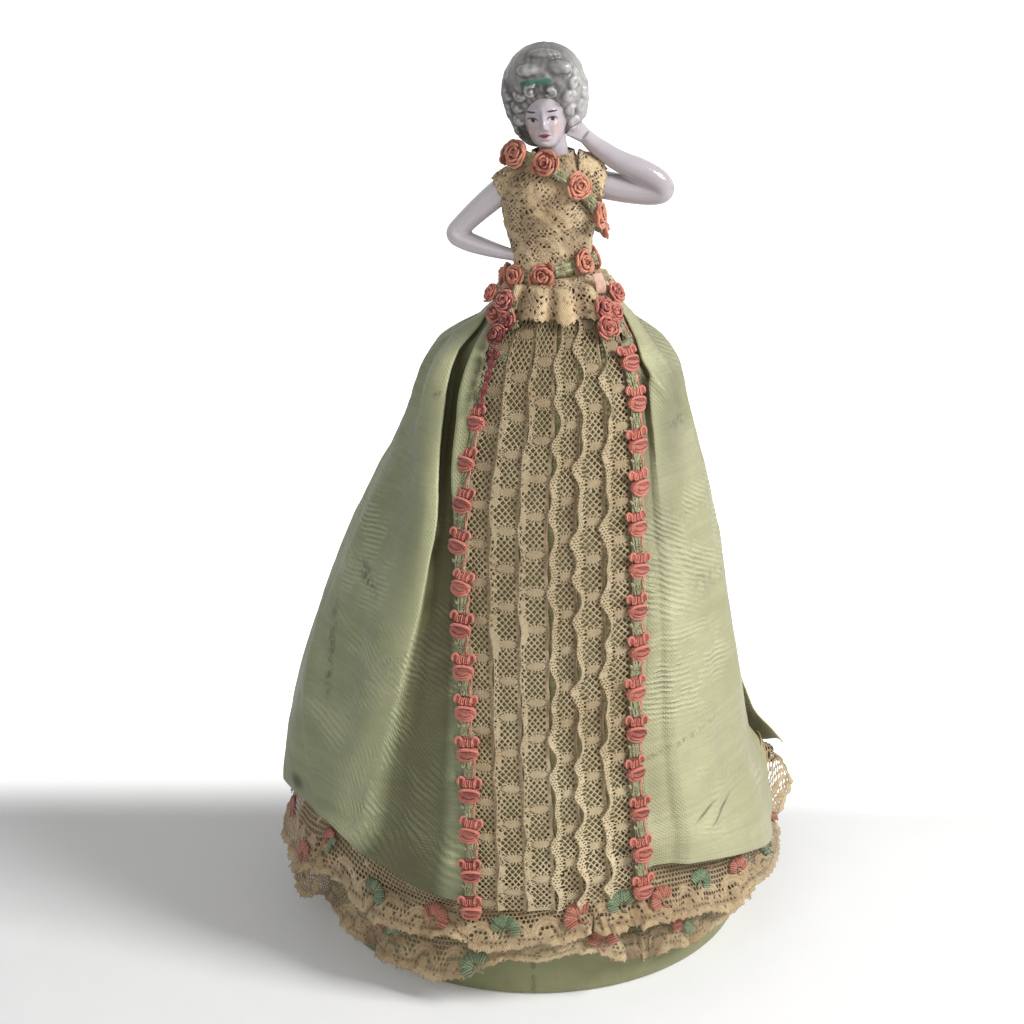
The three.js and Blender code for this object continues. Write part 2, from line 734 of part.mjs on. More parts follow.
function widthOf(side) {
  const fold = side < 0 ? leftFold : rightFold;
  const seam = side < 0 ? seamAngle.left : seamAngle.right;
  const runs = overskirtLevels.map((level) => {
    const [valley, depth, turn, sharp, stand] = [1, 2, 3, 4, 5].map((column) => along(fold, level, column));
    const edge = along(edgeStations, level) + waistEase(level);
    const perMillimetre = side / bellHalfWidth(level);
    const start = angleAtX(panelEdge(level, side), level) + 2 * clearance * perMillimetre;
    const crest = edge + depth * lerp(1, 1.12, sharp);
    const fixed = [
      [0, edge + 0.4 * valleyEase],
      [lerp(0.3, 0.4, sharp) * valley, edge + valleyEase],
      [lerp(0.55 * valley, 0.75 * valley, sharp), edge + valleyEase + (1 - sharp) * 0.12 * depth],
      [lerp(0.72 * valley, valley + 0.9 * turn, sharp), edge + lerp(0.4, 0.15, sharp) * depth],
      [lerp(0.84 * valley, valley + turn, sharp), edge + lerp(0.72, 0.5, sharp) * depth],
      [lerp(0.93 * valley, valley + 0.1 * turn, sharp), edge + lerp(0.9, 0.78, sharp) * depth],
      [lerp(valley, valley - 0.6, sharp), edge + lerp(1, 0.95, sharp) * depth],
      [valley + 3, crest],
      [valley + 9, lerp(crest, stand, 0.2)],
    ];
    const points = fixed.map(([distance, out]) => {
      const angle = start + distance * perMillimetre;
      return onBell(angle, hangPlace(level, angle), out);
    });
    const last = start + fixed[fixed.length - 1][0] * perMillimetre;
    for (let k = 1; k <= sidePleats; k += 1) {
      const angle = lerp(last, seam, k / sidePleats);
      const ripple = k === sidePleats ? 0 : (k % 2 === 0 ? 1 : -1) * pleatRipple * smooth(level, 0, 0.1);
      const out = Math.max(stand + ripple, clearance + clothThickness);
      points.push(onBell(angle, hangPlace(level, angle), out));
    }
    const curve = new THREE.CatmullRomCurve3(points, false, 'centripetal');
    const pieces = points.length - 1;
    const samples = [];
    for (let i = 0; i <= pieces; i += 0.5) {
      if (i <= fixed.length || Number.isInteger(i)) samples.push(curve.getPoint(i / pieces));
    }
    return side < 0 ? samples.reverse() : samples;
  });
  const faces = runs.map((run) => twoSided(run, clothThickness));
  return sheet(faces.map(([front]) => front), faces.map(([, back]) => back));
}

// How far the loose corner of the back width swings out over the side seam
function cornerSwing(angle, level) {
  const near = 1 - smooth(angle, seamAngle.right + 0.15, seamAngle.right + 0.75);
  return cornerReach * smooth(level, 0.62, 0.97) * near;
}

function backWidth() {
  const steps = backPleats * 4;
  const faces = overskirtLevels.map((level) => {
    const stand = along(rightFold, level, 5);
    const seamGap = (3 * clearance) / bellHalfWidth(level);
    const from = seamAngle.right + seamGap;
    const to = 2 * Math.PI + seamAngle.left - seamGap;
    const run = Array.from({ length: steps + 1 }, (_, i) => {
      const angle = lerp(from, to, i / steps);
      const turned = angle > Math.PI ? angle - 2 * Math.PI : angle;
      const pleat = Math.cos(((angle - from) / (to - from)) * backPleats * 2 * Math.PI);
      const flat = smooth(i, 0, 3) * (1 - smooth(i, steps - 3, steps));
      const ripple = pleat * flat * pleatRipple * 1.4 * smooth(level, 0, 0.12);
      return onBell(angle, hangPlace(level, turned), stand + ripple + cornerSwing(angle, level));
    });
    return twoSided(run, clothThickness);
  });
  return sheet(faces.map(([front]) => front), faces.map(([, back]) => back));
}

addPiece('overskirt_left', widthOf(-1), colours.brocade, 0.45);
addPiece('overskirt_right', widthOf(1), colours.brocade, 0.45);
addPiece('overskirt_back', backWidth(), colours.brocade, 0.45);

// Hem lace: two gathered tiers, the upper one caught under the overskirt's hem
function gatheredTier(rowsAt, ruffles) {
  const sections = Array.from({ length: hemSteps }, (_, i) => {
    const angle = -Math.PI + (i / hemSteps) * 2 * Math.PI;
    const wave = Math.cos(angle * ruffles);
    const rows = rowsAt(angle).map(([height, standoff, ruffle]) => [
      placeOf(height),
      standoff + ruffle * wave,
    ]);
    return [
      ...rows.map(([place, out]) => onBell(angle, place, out + laceThickness)),
      ...rows.slice().reverse().map(([place, out]) => onBell(angle, place, out)),
    ];
  });
  return hoop(sections);
}

const upperTier = gatheredTier((angle) => {
  const hem = hemHeight(angle);
  const lift = (smooth(angle, 1.65, 1.85) * (1 - smooth(angle, 2.2, 2.7))) * cornerReach * 0.7;
  return [
    [hem + 4, upperSeat, 0],
    [hem - 1, upperSeat, 0],
    [lerp(hem, upperTierLow, 0.55), lerp(upperSeat, tierFlare + lift, 0.5), ruffleDepth * 0.5],
    [upperTierLow, tierFlare + lift, ruffleDepth],
  ];
}, upperRuffles);
const lowerTier = gatheredTier(() => [
  [stripHem - 2, clearance, 0],
  [stripHem - 8, clearance + 0.3, 0],
  [lowerTierLow, tierFlare - 1.5, ruffleDepth],
], lowerRuffles);
addPiece('hem_lace_upper', upperTier, colours.hemLace, 0.85);
addPiece('hem_lace_lower', lowerTier, colours.hemLace, 0.85);

// Bodice with cap sleeves, cut to clear the trunk and the arms
function bodice() {
  const between = trunkLevels.filter((rise) => rise > bodiceLow && rise < bodiceHigh);
  const levels = [bodiceLow, ...between, bodiceHigh];
  const ease = (rise) => bodiceEase + shoulderEase * smooth(rise, bustRise + 6, shoulderRise + 3);
  const outside = loft(levels.map((rise) => trunkRing(rise, ease(rise) + laceThickness, trunkSteps)));
  const insideLevels = [bodiceLow - 1, ...levels, bodiceHigh + 1];
  const inside = loft(insideLevels.map((rise) => trunkRing(rise, ease(rise), trunkSteps)));
  const outer = bodiceEase + laceThickness;
  const sleeves = [hipArm(outer, hipSleeve), raisedArm(outer, raisedSleeve)];
  return cut(join(outside, ...sleeves), inside, hipArm(bodiceEase), raisedArm(bodiceEase));
}

addPiece('bodice_lace', bodice(), colours.lace, 0.85);

// Peplum: a lace frill from the waist, longer in front, over the gathered tops of the skirt
const peplumSteps = 44;
const sideShare = (angle) => smooth(Math.abs(angle), 0.75, 1.15);

function peplum() {
  const sections = Array.from({ length: peplumSteps }, (_, i) => {
    const angle = -Math.PI + (i / peplumSteps) * 2 * Math.PI;
    const wave = Math.cos(angle * peplumRuffles) * peplumWave;
    const low = lerp(peplumFrontDrop, peplumSideDrop, sideShare(angle)) / skirtHeight;
    const lowStand = lerp(peplumStand, peplumSideStand, sideShare(angle)) + wave;
    const outer = [
      onTrunk(angle, peplumTop, bodiceEase + laceThickness),
      onBell(angle, 0, peplumStand + laceThickness),
      onBell(angle, low, lowStand + laceThickness),
    ];
    const inner = [
      onBell(angle, low, lowStand),
      onBell(angle, 0, peplumStand),
      onTrunk(angle, peplumTop, bodiceEase),
    ];
    return [...outer, ...inner];
  });
  return hoop(sections);
}

addPiece('peplum_lace', peplum(), colours.lace, 0.85);

// Rosette braid: a flat tape with ribbon roses at an even pitch
function rosette(centre, outward, upward) {
  const out = outward.clone().normalize();
  const across = new THREE.Vector3().crossVectors(upward, out).normalize();
  const up = new THREE.Vector3().crossVectors(out, across);
  const rings = [[1, -0.1], [0.62, roseRise]].map(([share, rise]) => {
    return Array.from({ length: roseSides }, (_, i) => {
      const turn = (i / roseSides) * 2 * Math.PI;
      const lobe = share * (i % 2 === 0 ? 1 : 0.9);
      return centre.clone()
        .addScaledVector(across, (Math.sin(turn) * lobe * roseWidth) / 2)
        .addScaledVector(up, (Math.cos(turn) * lobe * roseLength) / 2)
        .addScaledVector(out, rise);
    });
  });
  return loft(rings);
}

// The outward direction of a surface given by two places on it
function outwardOf(surface, u, v, du, dv) {
  const alongU = surface(u + du, v).sub(surface(u - du, v));
  const alongV = surface(u, v + dv).sub(surface(u, v - dv));
  return alongU.cross(alongV);
}

// Roses along a run of points, from the first rose's distance on
function rosesAlong(run, outwardAt, first) {
  const roses = [];
  let walked = 0;
  let next = first;
  for (let i = 1; i < run.length; i += 1) {
    const step = run[i].distanceTo(run[i - 1]);
    while (walked + step >= next) {
      const share = (next - walked) / step;
      const centre = run[i - 1].clone().lerp(run[i], share);
      roses.push(rosette(centre, outwardAt(i - 1, share), run[i - 1].clone().sub(run[i])));
      next += rosePitch;
    }
    walked += step;
  }
  return roses;
}

// The panel braids lie over the overskirt's edges, clear of the valleys and of the hem's lace
const braidClearance = 0.75 * valleyEase;
const braidStand = (place) => clearance * 2 + clothThickness + tapeThickness / 2 + braidClearance
  + (hemStand - clearance - clothThickness / 2) * smooth(place, 0.78, 0.89) + waistEase(place) * 1.6;

function panelBraid(side, topPlace, bottomPlace, firstRose) {
  const places = rowsBetween(topPlace, bottomPlace, 14);
  const at = (place, across, out) => {
    const middle = angleAtX(panelEdge(place, side), place);
    return onBell(middle + across / bellHalfWidth(place), place, braidStand(place) + out);
  };
  const sides = [-tapeWidth / 2, tapeWidth / 2];
  const grid = (out) => places.map((place) => sides.map((across) => at(place, across, out)));
  const tape = sheet(grid(tapeThickness / 2), grid(-tapeThickness / 2));
  const run = places.map((place) => at(place, 0, 0));
  const outwardAt = (i, share) => {
    const place = lerp(places[i], places[i + 1], share);
    return outwardOf((p, across) => at(p, across, 0), place, 0, -0.005, 1).negate();
  };
  return join(tape, ...rosesAlong(run, outwardAt, firstRose));
}

addPiece('panel_braid_left', panelBraid(-1, 0.15, 0.96, 7), colours.rose, 0.6);
addPiece('panel_braid_right', panelBraid(1, 0.075, 0.935, 7), colours.rose, 0.6);

// A closed band of braid lying on the trunk at a rise that changes round it
function trunkBraid(riseAt, standoff, steps, firstRose) {
  const sections = [];
  const run = [];
  for (let i = 0; i < steps; i += 1) {
    const angle = -Math.PI + (i / steps) * 2 * Math.PI;
    const rise = riseAt(angle);
    const [low, high] = [rise - tapeWidth / 2, rise + tapeWidth / 2];
    sections.push([
      onTrunk(angle, low, standoff),
      onTrunk(angle, low, standoff + tapeThickness),
      onTrunk(angle, high, standoff + tapeThickness),
      onTrunk(angle, high, standoff),
    ]);
    run.push(onTrunk(angle, rise, standoff + tapeThickness / 2));
  }
  run.push(run[0].clone());
  const outwardAt = (i, share) => {
    const angle = -Math.PI + ((i + share) / steps) * 2 * Math.PI;
    return outwardOf((turn, rise) => onTrunk(turn, rise, standoff), angle, riseAt(angle), 0.05, 1);
  };
  return join(hoop(sections), ...rosesAlong(run, outwardAt, firstRose));
}

const neckStations = [[-Math.PI, 47], [-1.57, 54.6], [-0.2, 52.2], [0.7, 45], [1.57, 37], [Math.PI, 47]];
const waistBraidRise = peplumTop + tapeWidth / 2 + 4 * clearance;
const waistBraidStand = bodiceEase + laceThickness + 3 * clearance;
const neckBraidStand = waistBraidStand + shoulderEase;
const neckBraid = trunkBraid((angle) => along(neckStations, angle), neckBraidStand, 32, rosePitch * 0.3);
const waistBraid = trunkBraid(() => waistBraidRise, waistBraidStand, 28, rosePitch / 2);
addPiece('neck_braid', neckBraid, colours.rose, 0.6);
addPiece('waist_braid', waistBraid, colours.rose, 0.6);

// Clusters of ribbon roses on each hip, on a short backing that follows the peplum, then the skirt.
// Columns: place, stand over the bell.
const peplumOver = peplumSideStand + laceThickness;
const hipStand = [
  [-0.02, peplumOver],
  [0, peplumOver + 0.2],
  [0.03, peplumOver + 1.1],
  [0.05, peplumOver + 1.9],
  [0.08, peplumOver + 4.8],
];

function hipRoses(angle) {
  const places = [-0.004, 0.012, 0.03, 0.045, 0.06, 0.075];
  const at = (place, across, out) => onBell(
    angle + across / bellHalfWidth(place),
    place,
    along(hipStand, place) + out,
  );
  const columns = [-hipBackingWidth / 2, 0, hipBackingWidth / 2];
  const grid = (out) => places.map((place) => columns.map((across) => at(place, across, out)));
  const backing = sheet(grid(tapeThickness / 2), grid(-tapeThickness / 2));
  const spots = [[-0.001, 1.4], [0.016, -1.8], [0.04, 1.6], [0.066, -0.6]];
  const roses = spots.map(([place, across]) => {
    const outward = outwardOf((p, side) => at(p, side, 0), place, across, 0.01, 1);
    const upward = at(place - 0.004, across, 0).sub(at(place + 0.004, across, 0));
    return rosette(at(place, across, 0), outward, upward);
  });
  return join(backing, ...roses);
}

addPiece('hip_roses_left', hipRoses(-hipRoseAngle), colours.rose, 0.6);
addPiece('hip_roses_right', hipRoses(hipRoseAngle), colours.rose, 0.6);

// A short loose ribbon end beside the right cluster, over the front of the peplum
function ribbonEnd() {
  const angle = hipRoseAngle - 0.42;
  const places = [0.002, 0.018, 0.034, 0.05];
  const stand = peplumStand + laceThickness + 2 * clearance;
  const grid = (out) => places.map((place, row) => [-0.5, 0.5].map((share) => {
    const across = share * ribbonWidth;
    const twist = (across * row) / 8;
    return onBell(angle + across / bellHalfWidth(place), place, stand + row * 0.35 + twist + out);
  }));
  return sheet(grid(ribbonThickness), grid(0));
}

addPiece('ribbon_end', ribbonEnd(), colours.ribbon, 0.4);

export default doll;
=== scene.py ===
import math

import bpy
import numpy as np
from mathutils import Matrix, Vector
from mathutils.bvhtree import BVHTree


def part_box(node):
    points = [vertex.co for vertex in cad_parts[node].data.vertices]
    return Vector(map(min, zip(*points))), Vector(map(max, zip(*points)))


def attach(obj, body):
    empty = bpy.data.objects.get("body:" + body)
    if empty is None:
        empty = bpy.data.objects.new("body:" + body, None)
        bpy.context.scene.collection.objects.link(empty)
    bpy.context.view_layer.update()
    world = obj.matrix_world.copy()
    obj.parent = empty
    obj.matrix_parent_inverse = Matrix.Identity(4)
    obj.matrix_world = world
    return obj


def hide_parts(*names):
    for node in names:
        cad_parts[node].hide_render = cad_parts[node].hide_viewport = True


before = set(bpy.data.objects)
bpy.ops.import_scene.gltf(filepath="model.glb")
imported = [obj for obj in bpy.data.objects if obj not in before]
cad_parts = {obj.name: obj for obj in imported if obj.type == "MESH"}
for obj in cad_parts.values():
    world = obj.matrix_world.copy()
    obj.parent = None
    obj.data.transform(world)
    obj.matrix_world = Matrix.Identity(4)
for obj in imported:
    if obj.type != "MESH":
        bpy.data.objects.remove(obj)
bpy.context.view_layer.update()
MM = 0.001
PI = math.pi
TURN = 2 * PI

# Sizes read from the frame, in millimetres
_, under_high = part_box("underskirt")
_, cover_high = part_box("base_cover")
figure_low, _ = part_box("porcelain_figure")
WAIST_SEAM = under_high.z / MM
BASE_RADIUS = cover_high.x / MM
BASE_TOP = cover_high.z / MM
FIGURE_SEAT = figure_low.z / MM
SKIRT_HEIGHT = WAIST_SEAM - BASE_TOP

# Sizes of the skirt's bell
WAIST_HALF_WIDTH = 15.6
HEM_HALF_WIDTH = BASE_RADIUS + 5.5
TOP_DEPTH_RATIO = 0.9
HEM_DEPTH_RATIO = 0.975

# Bell of the skirt: place 0 at the waist seam and 1 at the top of the base.
# Columns: place, fullness from waist to hem width, sway towards the lady's left.
BELL = [
    (0, 0, 7.5), (0.045, 0.07, 7.5), (0.11, 0.27, 5.6), (0.19, 0.39, 4.8), (0.27, 0.48, 3.8),
    (0.36, 0.585, 1.8), (0.48, 0.71, -0.8), (0.6, 0.81, -3.2), (0.72, 0.9, -4.8),
    (0.82, 0.965, -5.0), (0.9, 0.995, -4.0), (1, 0.99, -2.5),
]
# Columns: place, x of the front panel's left and right edge
PANEL = [
    (0, -5, 20), (0.045, -11, 26), (0.11, -16.5, 29.4), (0.19, -19.3, 32.2), (0.27, -22.8, 32.8),
    (0.36, -24.4, 32.8), (0.5, -24.1, 33.2), (0.7, -22.8, 32.6), (0.85, -21.6, 34.2), (1, -21.3, 34.8),
]
# Columns: angle round the bell, height of the overskirt's hem
HEM = [
    (-PI, 45), (-1.7, 50), (-1.15, 56.5), (-0.88, 57.5), (-0.68, 50), (-0.47, 44), (-0.25, 40.5), (0.2, 46),
    (0.53, 49), (0.8, 45), (1.0, 40.5), (1.25, 34), (1.6, 34), (1.7, 36), (1.75, 48), (1.8, 49),
    (1.95, 42), (2.15, 36), (2.6, 41), (PI, 45),
]


# Numbers

def lerp(a, b, t):
    return a + (b - a) * t


def smooth(x, low, high):
    """0 below low, 1 over high and a soft step between."""
    t = np.clip((np.asarray(x, float) - low) / (high - low), 0, 1)
    return t * t * (3 - 2 * t)


def along(stations, place, column=1):
    """A smooth value through stations of (place, value, ...), flat past both ends."""
    table = np.asarray(stations, float)
    x, y = table[:, 0], table[:, column]
    slope = np.gradient(y, x)
    slope[1:-1] = (y[2:] - y[:-2]) / (x[2:] - x[:-2])
    p = np.clip(place, x[0], x[-1])
    i = np.clip(np.searchsorted(x, p, side="right") - 1, 0, len(x) - 2)
    span = x[i + 1] - x[i]
    u = (p - x[i]) / span
    step = u * u * (3 - 2 * u)
    bend = span * (u * (1 - u) ** 2 * slope[i] + u * u * (u - 1) * slope[i + 1])
    return lerp(y[i], y[i + 1], step) + bend


def noise(u, v, size, seed, octaves=3):
    """Smooth noise of about -1 to 1 over a plane, with features of the given size."""
    total, weight = 0.0, 0.0
    for octave in range(octaves):
        share = 0.5 ** octave
        grid = np.random.default_rng(seed + octave).uniform(-1, 1, (64, 64))
        x, y = np.asarray(u) / (size * share), np.asarray(v) / (size * share)
        ix, iy = np.floor(x).astype(int), np.floor(y).astype(int)
        fx, fy = smooth(x - ix, 0, 1), smooth(y - iy, 0, 1)
        a, b = grid[ix % 64, iy % 64], grid[(ix + 1) % 64, iy % 64]
        c, d = grid[ix % 64, (iy + 1) % 64], grid[(ix + 1) % 64, (iy + 1) % 64]
        total = total + share * lerp(lerp(a, b, fx), lerp(c, d, fx), fy)
        weight += share
    return total * 1.6 / weight


def unit(vectors):
    return vectors / np.maximum(np.linalg.norm(vectors, axis=-1, keepdims=True), 1e-9)


def distances(path):
    """How far along a path each of its points is."""
    return np.concatenate([[0], np.cumsum(np.linalg.norm(np.diff(path, axis=0), axis=1))])


def catmull(points, samples):
    """Points on a smooth curve through control points of shape (n, ..., 3)."""
    p = np.asarray(points, float)
    p = np.concatenate([[2 * p[0] - p[1]], p, [2 * p[-1] - p[-2]]])
    out = []
    for i in range(1, len(p) - 2):
        last = i == len(p) - 3
        for t in np.linspace(0, 1, samples + 1)[: None if last else -1]:
            out.append(0.5 * (
                2 * p[i] + (p[i + 1] - p[i - 1]) * t
                + (2 * p[i - 1] - 5 * p[i] + 4 * p[i + 1] - p[i + 2]) * t ** 2
                + (3 * p[i] - p[i - 1] - 3 * p[i + 1] + p[i + 2]) * t ** 3
            ))
    return np.array(out)


# The bell of the skirt

def bell_half_width(place):
    return lerp(WAIST_HALF_WIDTH, HEM_HALF_WIDTH, along(BELL, place))


def bell(angle, place, stand):
    """Points that stand off the bell by stand; angle 0 is its front."""
    angle, place, stand = np.broadcast_arrays(*(np.asarray(a, float) for a in (angle, place, stand)))
    half = bell_half_width(place)
    ratio = lerp(TOP_DEPTH_RATIO, HEM_DEPTH_RATIO, np.clip(place, 0, 1))
    x = along(BELL, place, 2) + (half + stand) * np.sin(angle)
    y = -(half * ratio + stand) * np.cos(angle)
    return np.stack([x, y, WAIST_SEAM - place * SKIRT_HEIGHT], -1)


def angle_at_x(x, place):
    return np.arcsin(np.clip((x - along(BELL, place, 2)) / bell_half_width(place), -1, 1))


def place_of(height):
    return (WAIST_SEAM - height) / SKIRT_HEIGHT


def hem_height(angle):
    return along(HEM, (np.asarray(angle) + PI) % TURN - PI)


# Meshes

def add_object(name, points, faces, material, smooth_shading=True, uv=None, values=None):
    """A mesh object from points in millimetres and faces of three or four corners."""
    groups = [np.asarray(f, int) for f in (faces if isinstance(faces, list) else [faces])]
    groups = [g for g in groups if len(g)]
    corners = np.concatenate([g.ravel() for g in groups])
    sizes = np.concatenate([np.full(len(g), g.shape[1]) for g in groups])
    mesh = bpy.data.meshes.new(name)
    mesh.vertices.add(len(points))
    mesh.vertices.foreach_set("co", (np.asarray(points, float) * MM).astype(np.float32).ravel())
    mesh.loops.add(len(corners))
    mesh.loops.foreach_set("vertex_index", corners.astype(np.int32))
    mesh.polygons.add(len(sizes))
    starts = np.concatenate([[0], np.cumsum(sizes)[:-1]])
    mesh.polygons.foreach_set("loop_start", starts.astype(np.int32))
    mesh.polygons.foreach_set("use_smooth", np.full(len(sizes), smooth_shading))
    if uv is not None:
        layer = mesh.uv_layers.new(name="cloth")
        layer.data.foreach_set("uv", np.asarray(uv, np.float32)[corners].ravel())
    for key, value in (values or {}).items():
        attribute = mesh.attributes.new(key, "FLOAT", "POINT")
        attribute.data.foreach_set("value", np.asarray(value, np.float32))
    mesh.update(calc_edges=True)
    mesh.validate()
    obj = bpy.data.objects.new(name, mesh)
    bpy.context.scene.collection.objects.link(obj)
    obj.data.materials.append(material)
    return obj


def piece(name, points, faces, finish, slot, replaces=(), **extra):
    """A mesh that rides on the one body and hides the solids that it stands for; slot is not used."""
    obj = add_object(name, points, faces, finish.material, **extra)
    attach(obj, "root")
    if replaces:
        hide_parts(*replaces)
    return obj


def grid_quads(rows, columns, close_rows=False, close_columns=False):
    """The faces between the points of a grid."""
    r = np.arange(rows if close_rows else rows - 1)
    c = np.arange(columns if close_columns else columns - 1)
    r, c = (a.ravel() for a in np.meshgrid(r, c, indexing="ij"))
    r2, c2 = (r + 1) % rows, (c + 1) % columns
    return np.stack([r * columns + c, r * columns + c2, r2 * columns + c2, r2 * columns + c], -1)


def grid_normals(grid, close_columns=False):
    if close_columns:
        wide = np.concatenate([grid[:, -1:], grid, grid[:, :1]], 1)
        across = np.gradient(wide, axis=1)[:, 1:-1]
    else:
        across = np.gradient(grid, axis=1)
    return unit(np.cross(across, np.gradient(grid, axis=0)))


def thick_grid(grid, thickness, close_columns=False):
    """Both faces and the rim of a sheet given as a grid of middle points."""
    rows, columns = grid.shape[:2]
    normal = grid_normals(grid, close_columns)
    points = np.concatenate([(grid + normal * thickness / 2).reshape(-1, 3),
                             (grid - normal * thickness / 2).reshape(-1, 3)])
    front = grid_quads(rows, columns, close_columns=close_columns)
    size = rows * columns
    back = front[:, ::-1] + size
    index = np.arange(size).reshape(rows, columns)
    edges = []
    if close_columns:
        for row in (index[0], index[-1][::-1]):
            edges.append(np.stack([row, np.roll(row, -1)], -1))
    else:
        ring = np.concatenate([index[0], index[1:, -1], index[-1, -2::-1], index[-2:0:-1, 0]])
        edges.append(np.stack([ring, np.roll(ring, -1)], -1))
    edges = np.concatenate(edges)
    rim = np.stack([edges[:, 1], edges[:, 0], edges[:, 0] + size, edges[:, 1] + size], -1)
    faces = np.concatenate([front, back, rim])
    step_u = np.linalg.norm(np.diff(grid, axis=1), axis=-1).mean(0)
    u = np.concatenate([[0], np.cumsum(step_u)])
    step_v = np.linalg.norm(np.diff(grid, axis=0), axis=-1).mean(1)
    v = np.concatenate([[0], np.cumsum(step_v)])
    uv = np.stack(np.meshgrid(v, u, indexing="ij")[::-1], -1).reshape(-1, 2)
    return points, faces, np.concatenate([uv, uv]) / 100


def capped(rings, first, last):
    """A closed surface through rings (n, sides, 3), with a point that closes each end."""
    n, sides = rings.shape[:2]
    k = np.arange(sides)
    end = (n - 1) * sides
    caps = np.concatenate([np.stack([np.full(sides, n * sides), (k + 1) % sides, k], -1),
                           np.stack([np.full(sides, n * sides + 1), end + k, end + (k + 1) % sides], -1)])
    points = np.concatenate([rings.reshape(-1, 3), [first, last]])
    return points, [grid_quads(n, sides, close_columns=True), caps]


def join_parts(parts):
    """One point and face list out of several."""
    points, faces, base = [], [], 0
    for p, f in parts:
        points.append(np.asarray(p, float))
        for group in (f if isinstance(f, list) else [f]):
            faces.append(np.asarray(group) + base)
        base += len(p)
    return np.concatenate(points), faces


def tube(path, radius, sides=8, flat=1.0, up=(0, -1, 0)):
    """A closed tube along a path; radius may change along it, and flat squeezes it."""
    path = np.asarray(path, float)
    radius = np.broadcast_to(radius, len(path))
    tangent = unit(np.gradient(path, axis=0))
    side = unit(np.cross(tangent, np.asarray(up, float)))
    for i in range(1, len(side)):
        if side[i] @ side[i - 1] < 0:
            side[i] *= -1
    out = np.cross(side, tangent)
    turn = np.linspace(0, TURN, sides, endpoint=False)
    rings = (path[:, None] + side[:, None] * (np.cos(turn)[:, None] * radius[:, None, None])
             + out[:, None] * (np.sin(turn)[:, None] * radius[:, None, None] * flat))
    return capped(rings, path[0], path[-1])


# Materials

def screen(r, g, b):
    """The linear colour that a screen shows as these 0-255 values."""
    def linear(c):
        c /= 255
        return c / 12.92 if c <= 0.04045 else ((c + 0.055) / 1.055) ** 2.4
    return (linear(r), linear(g), linear(b), 1)


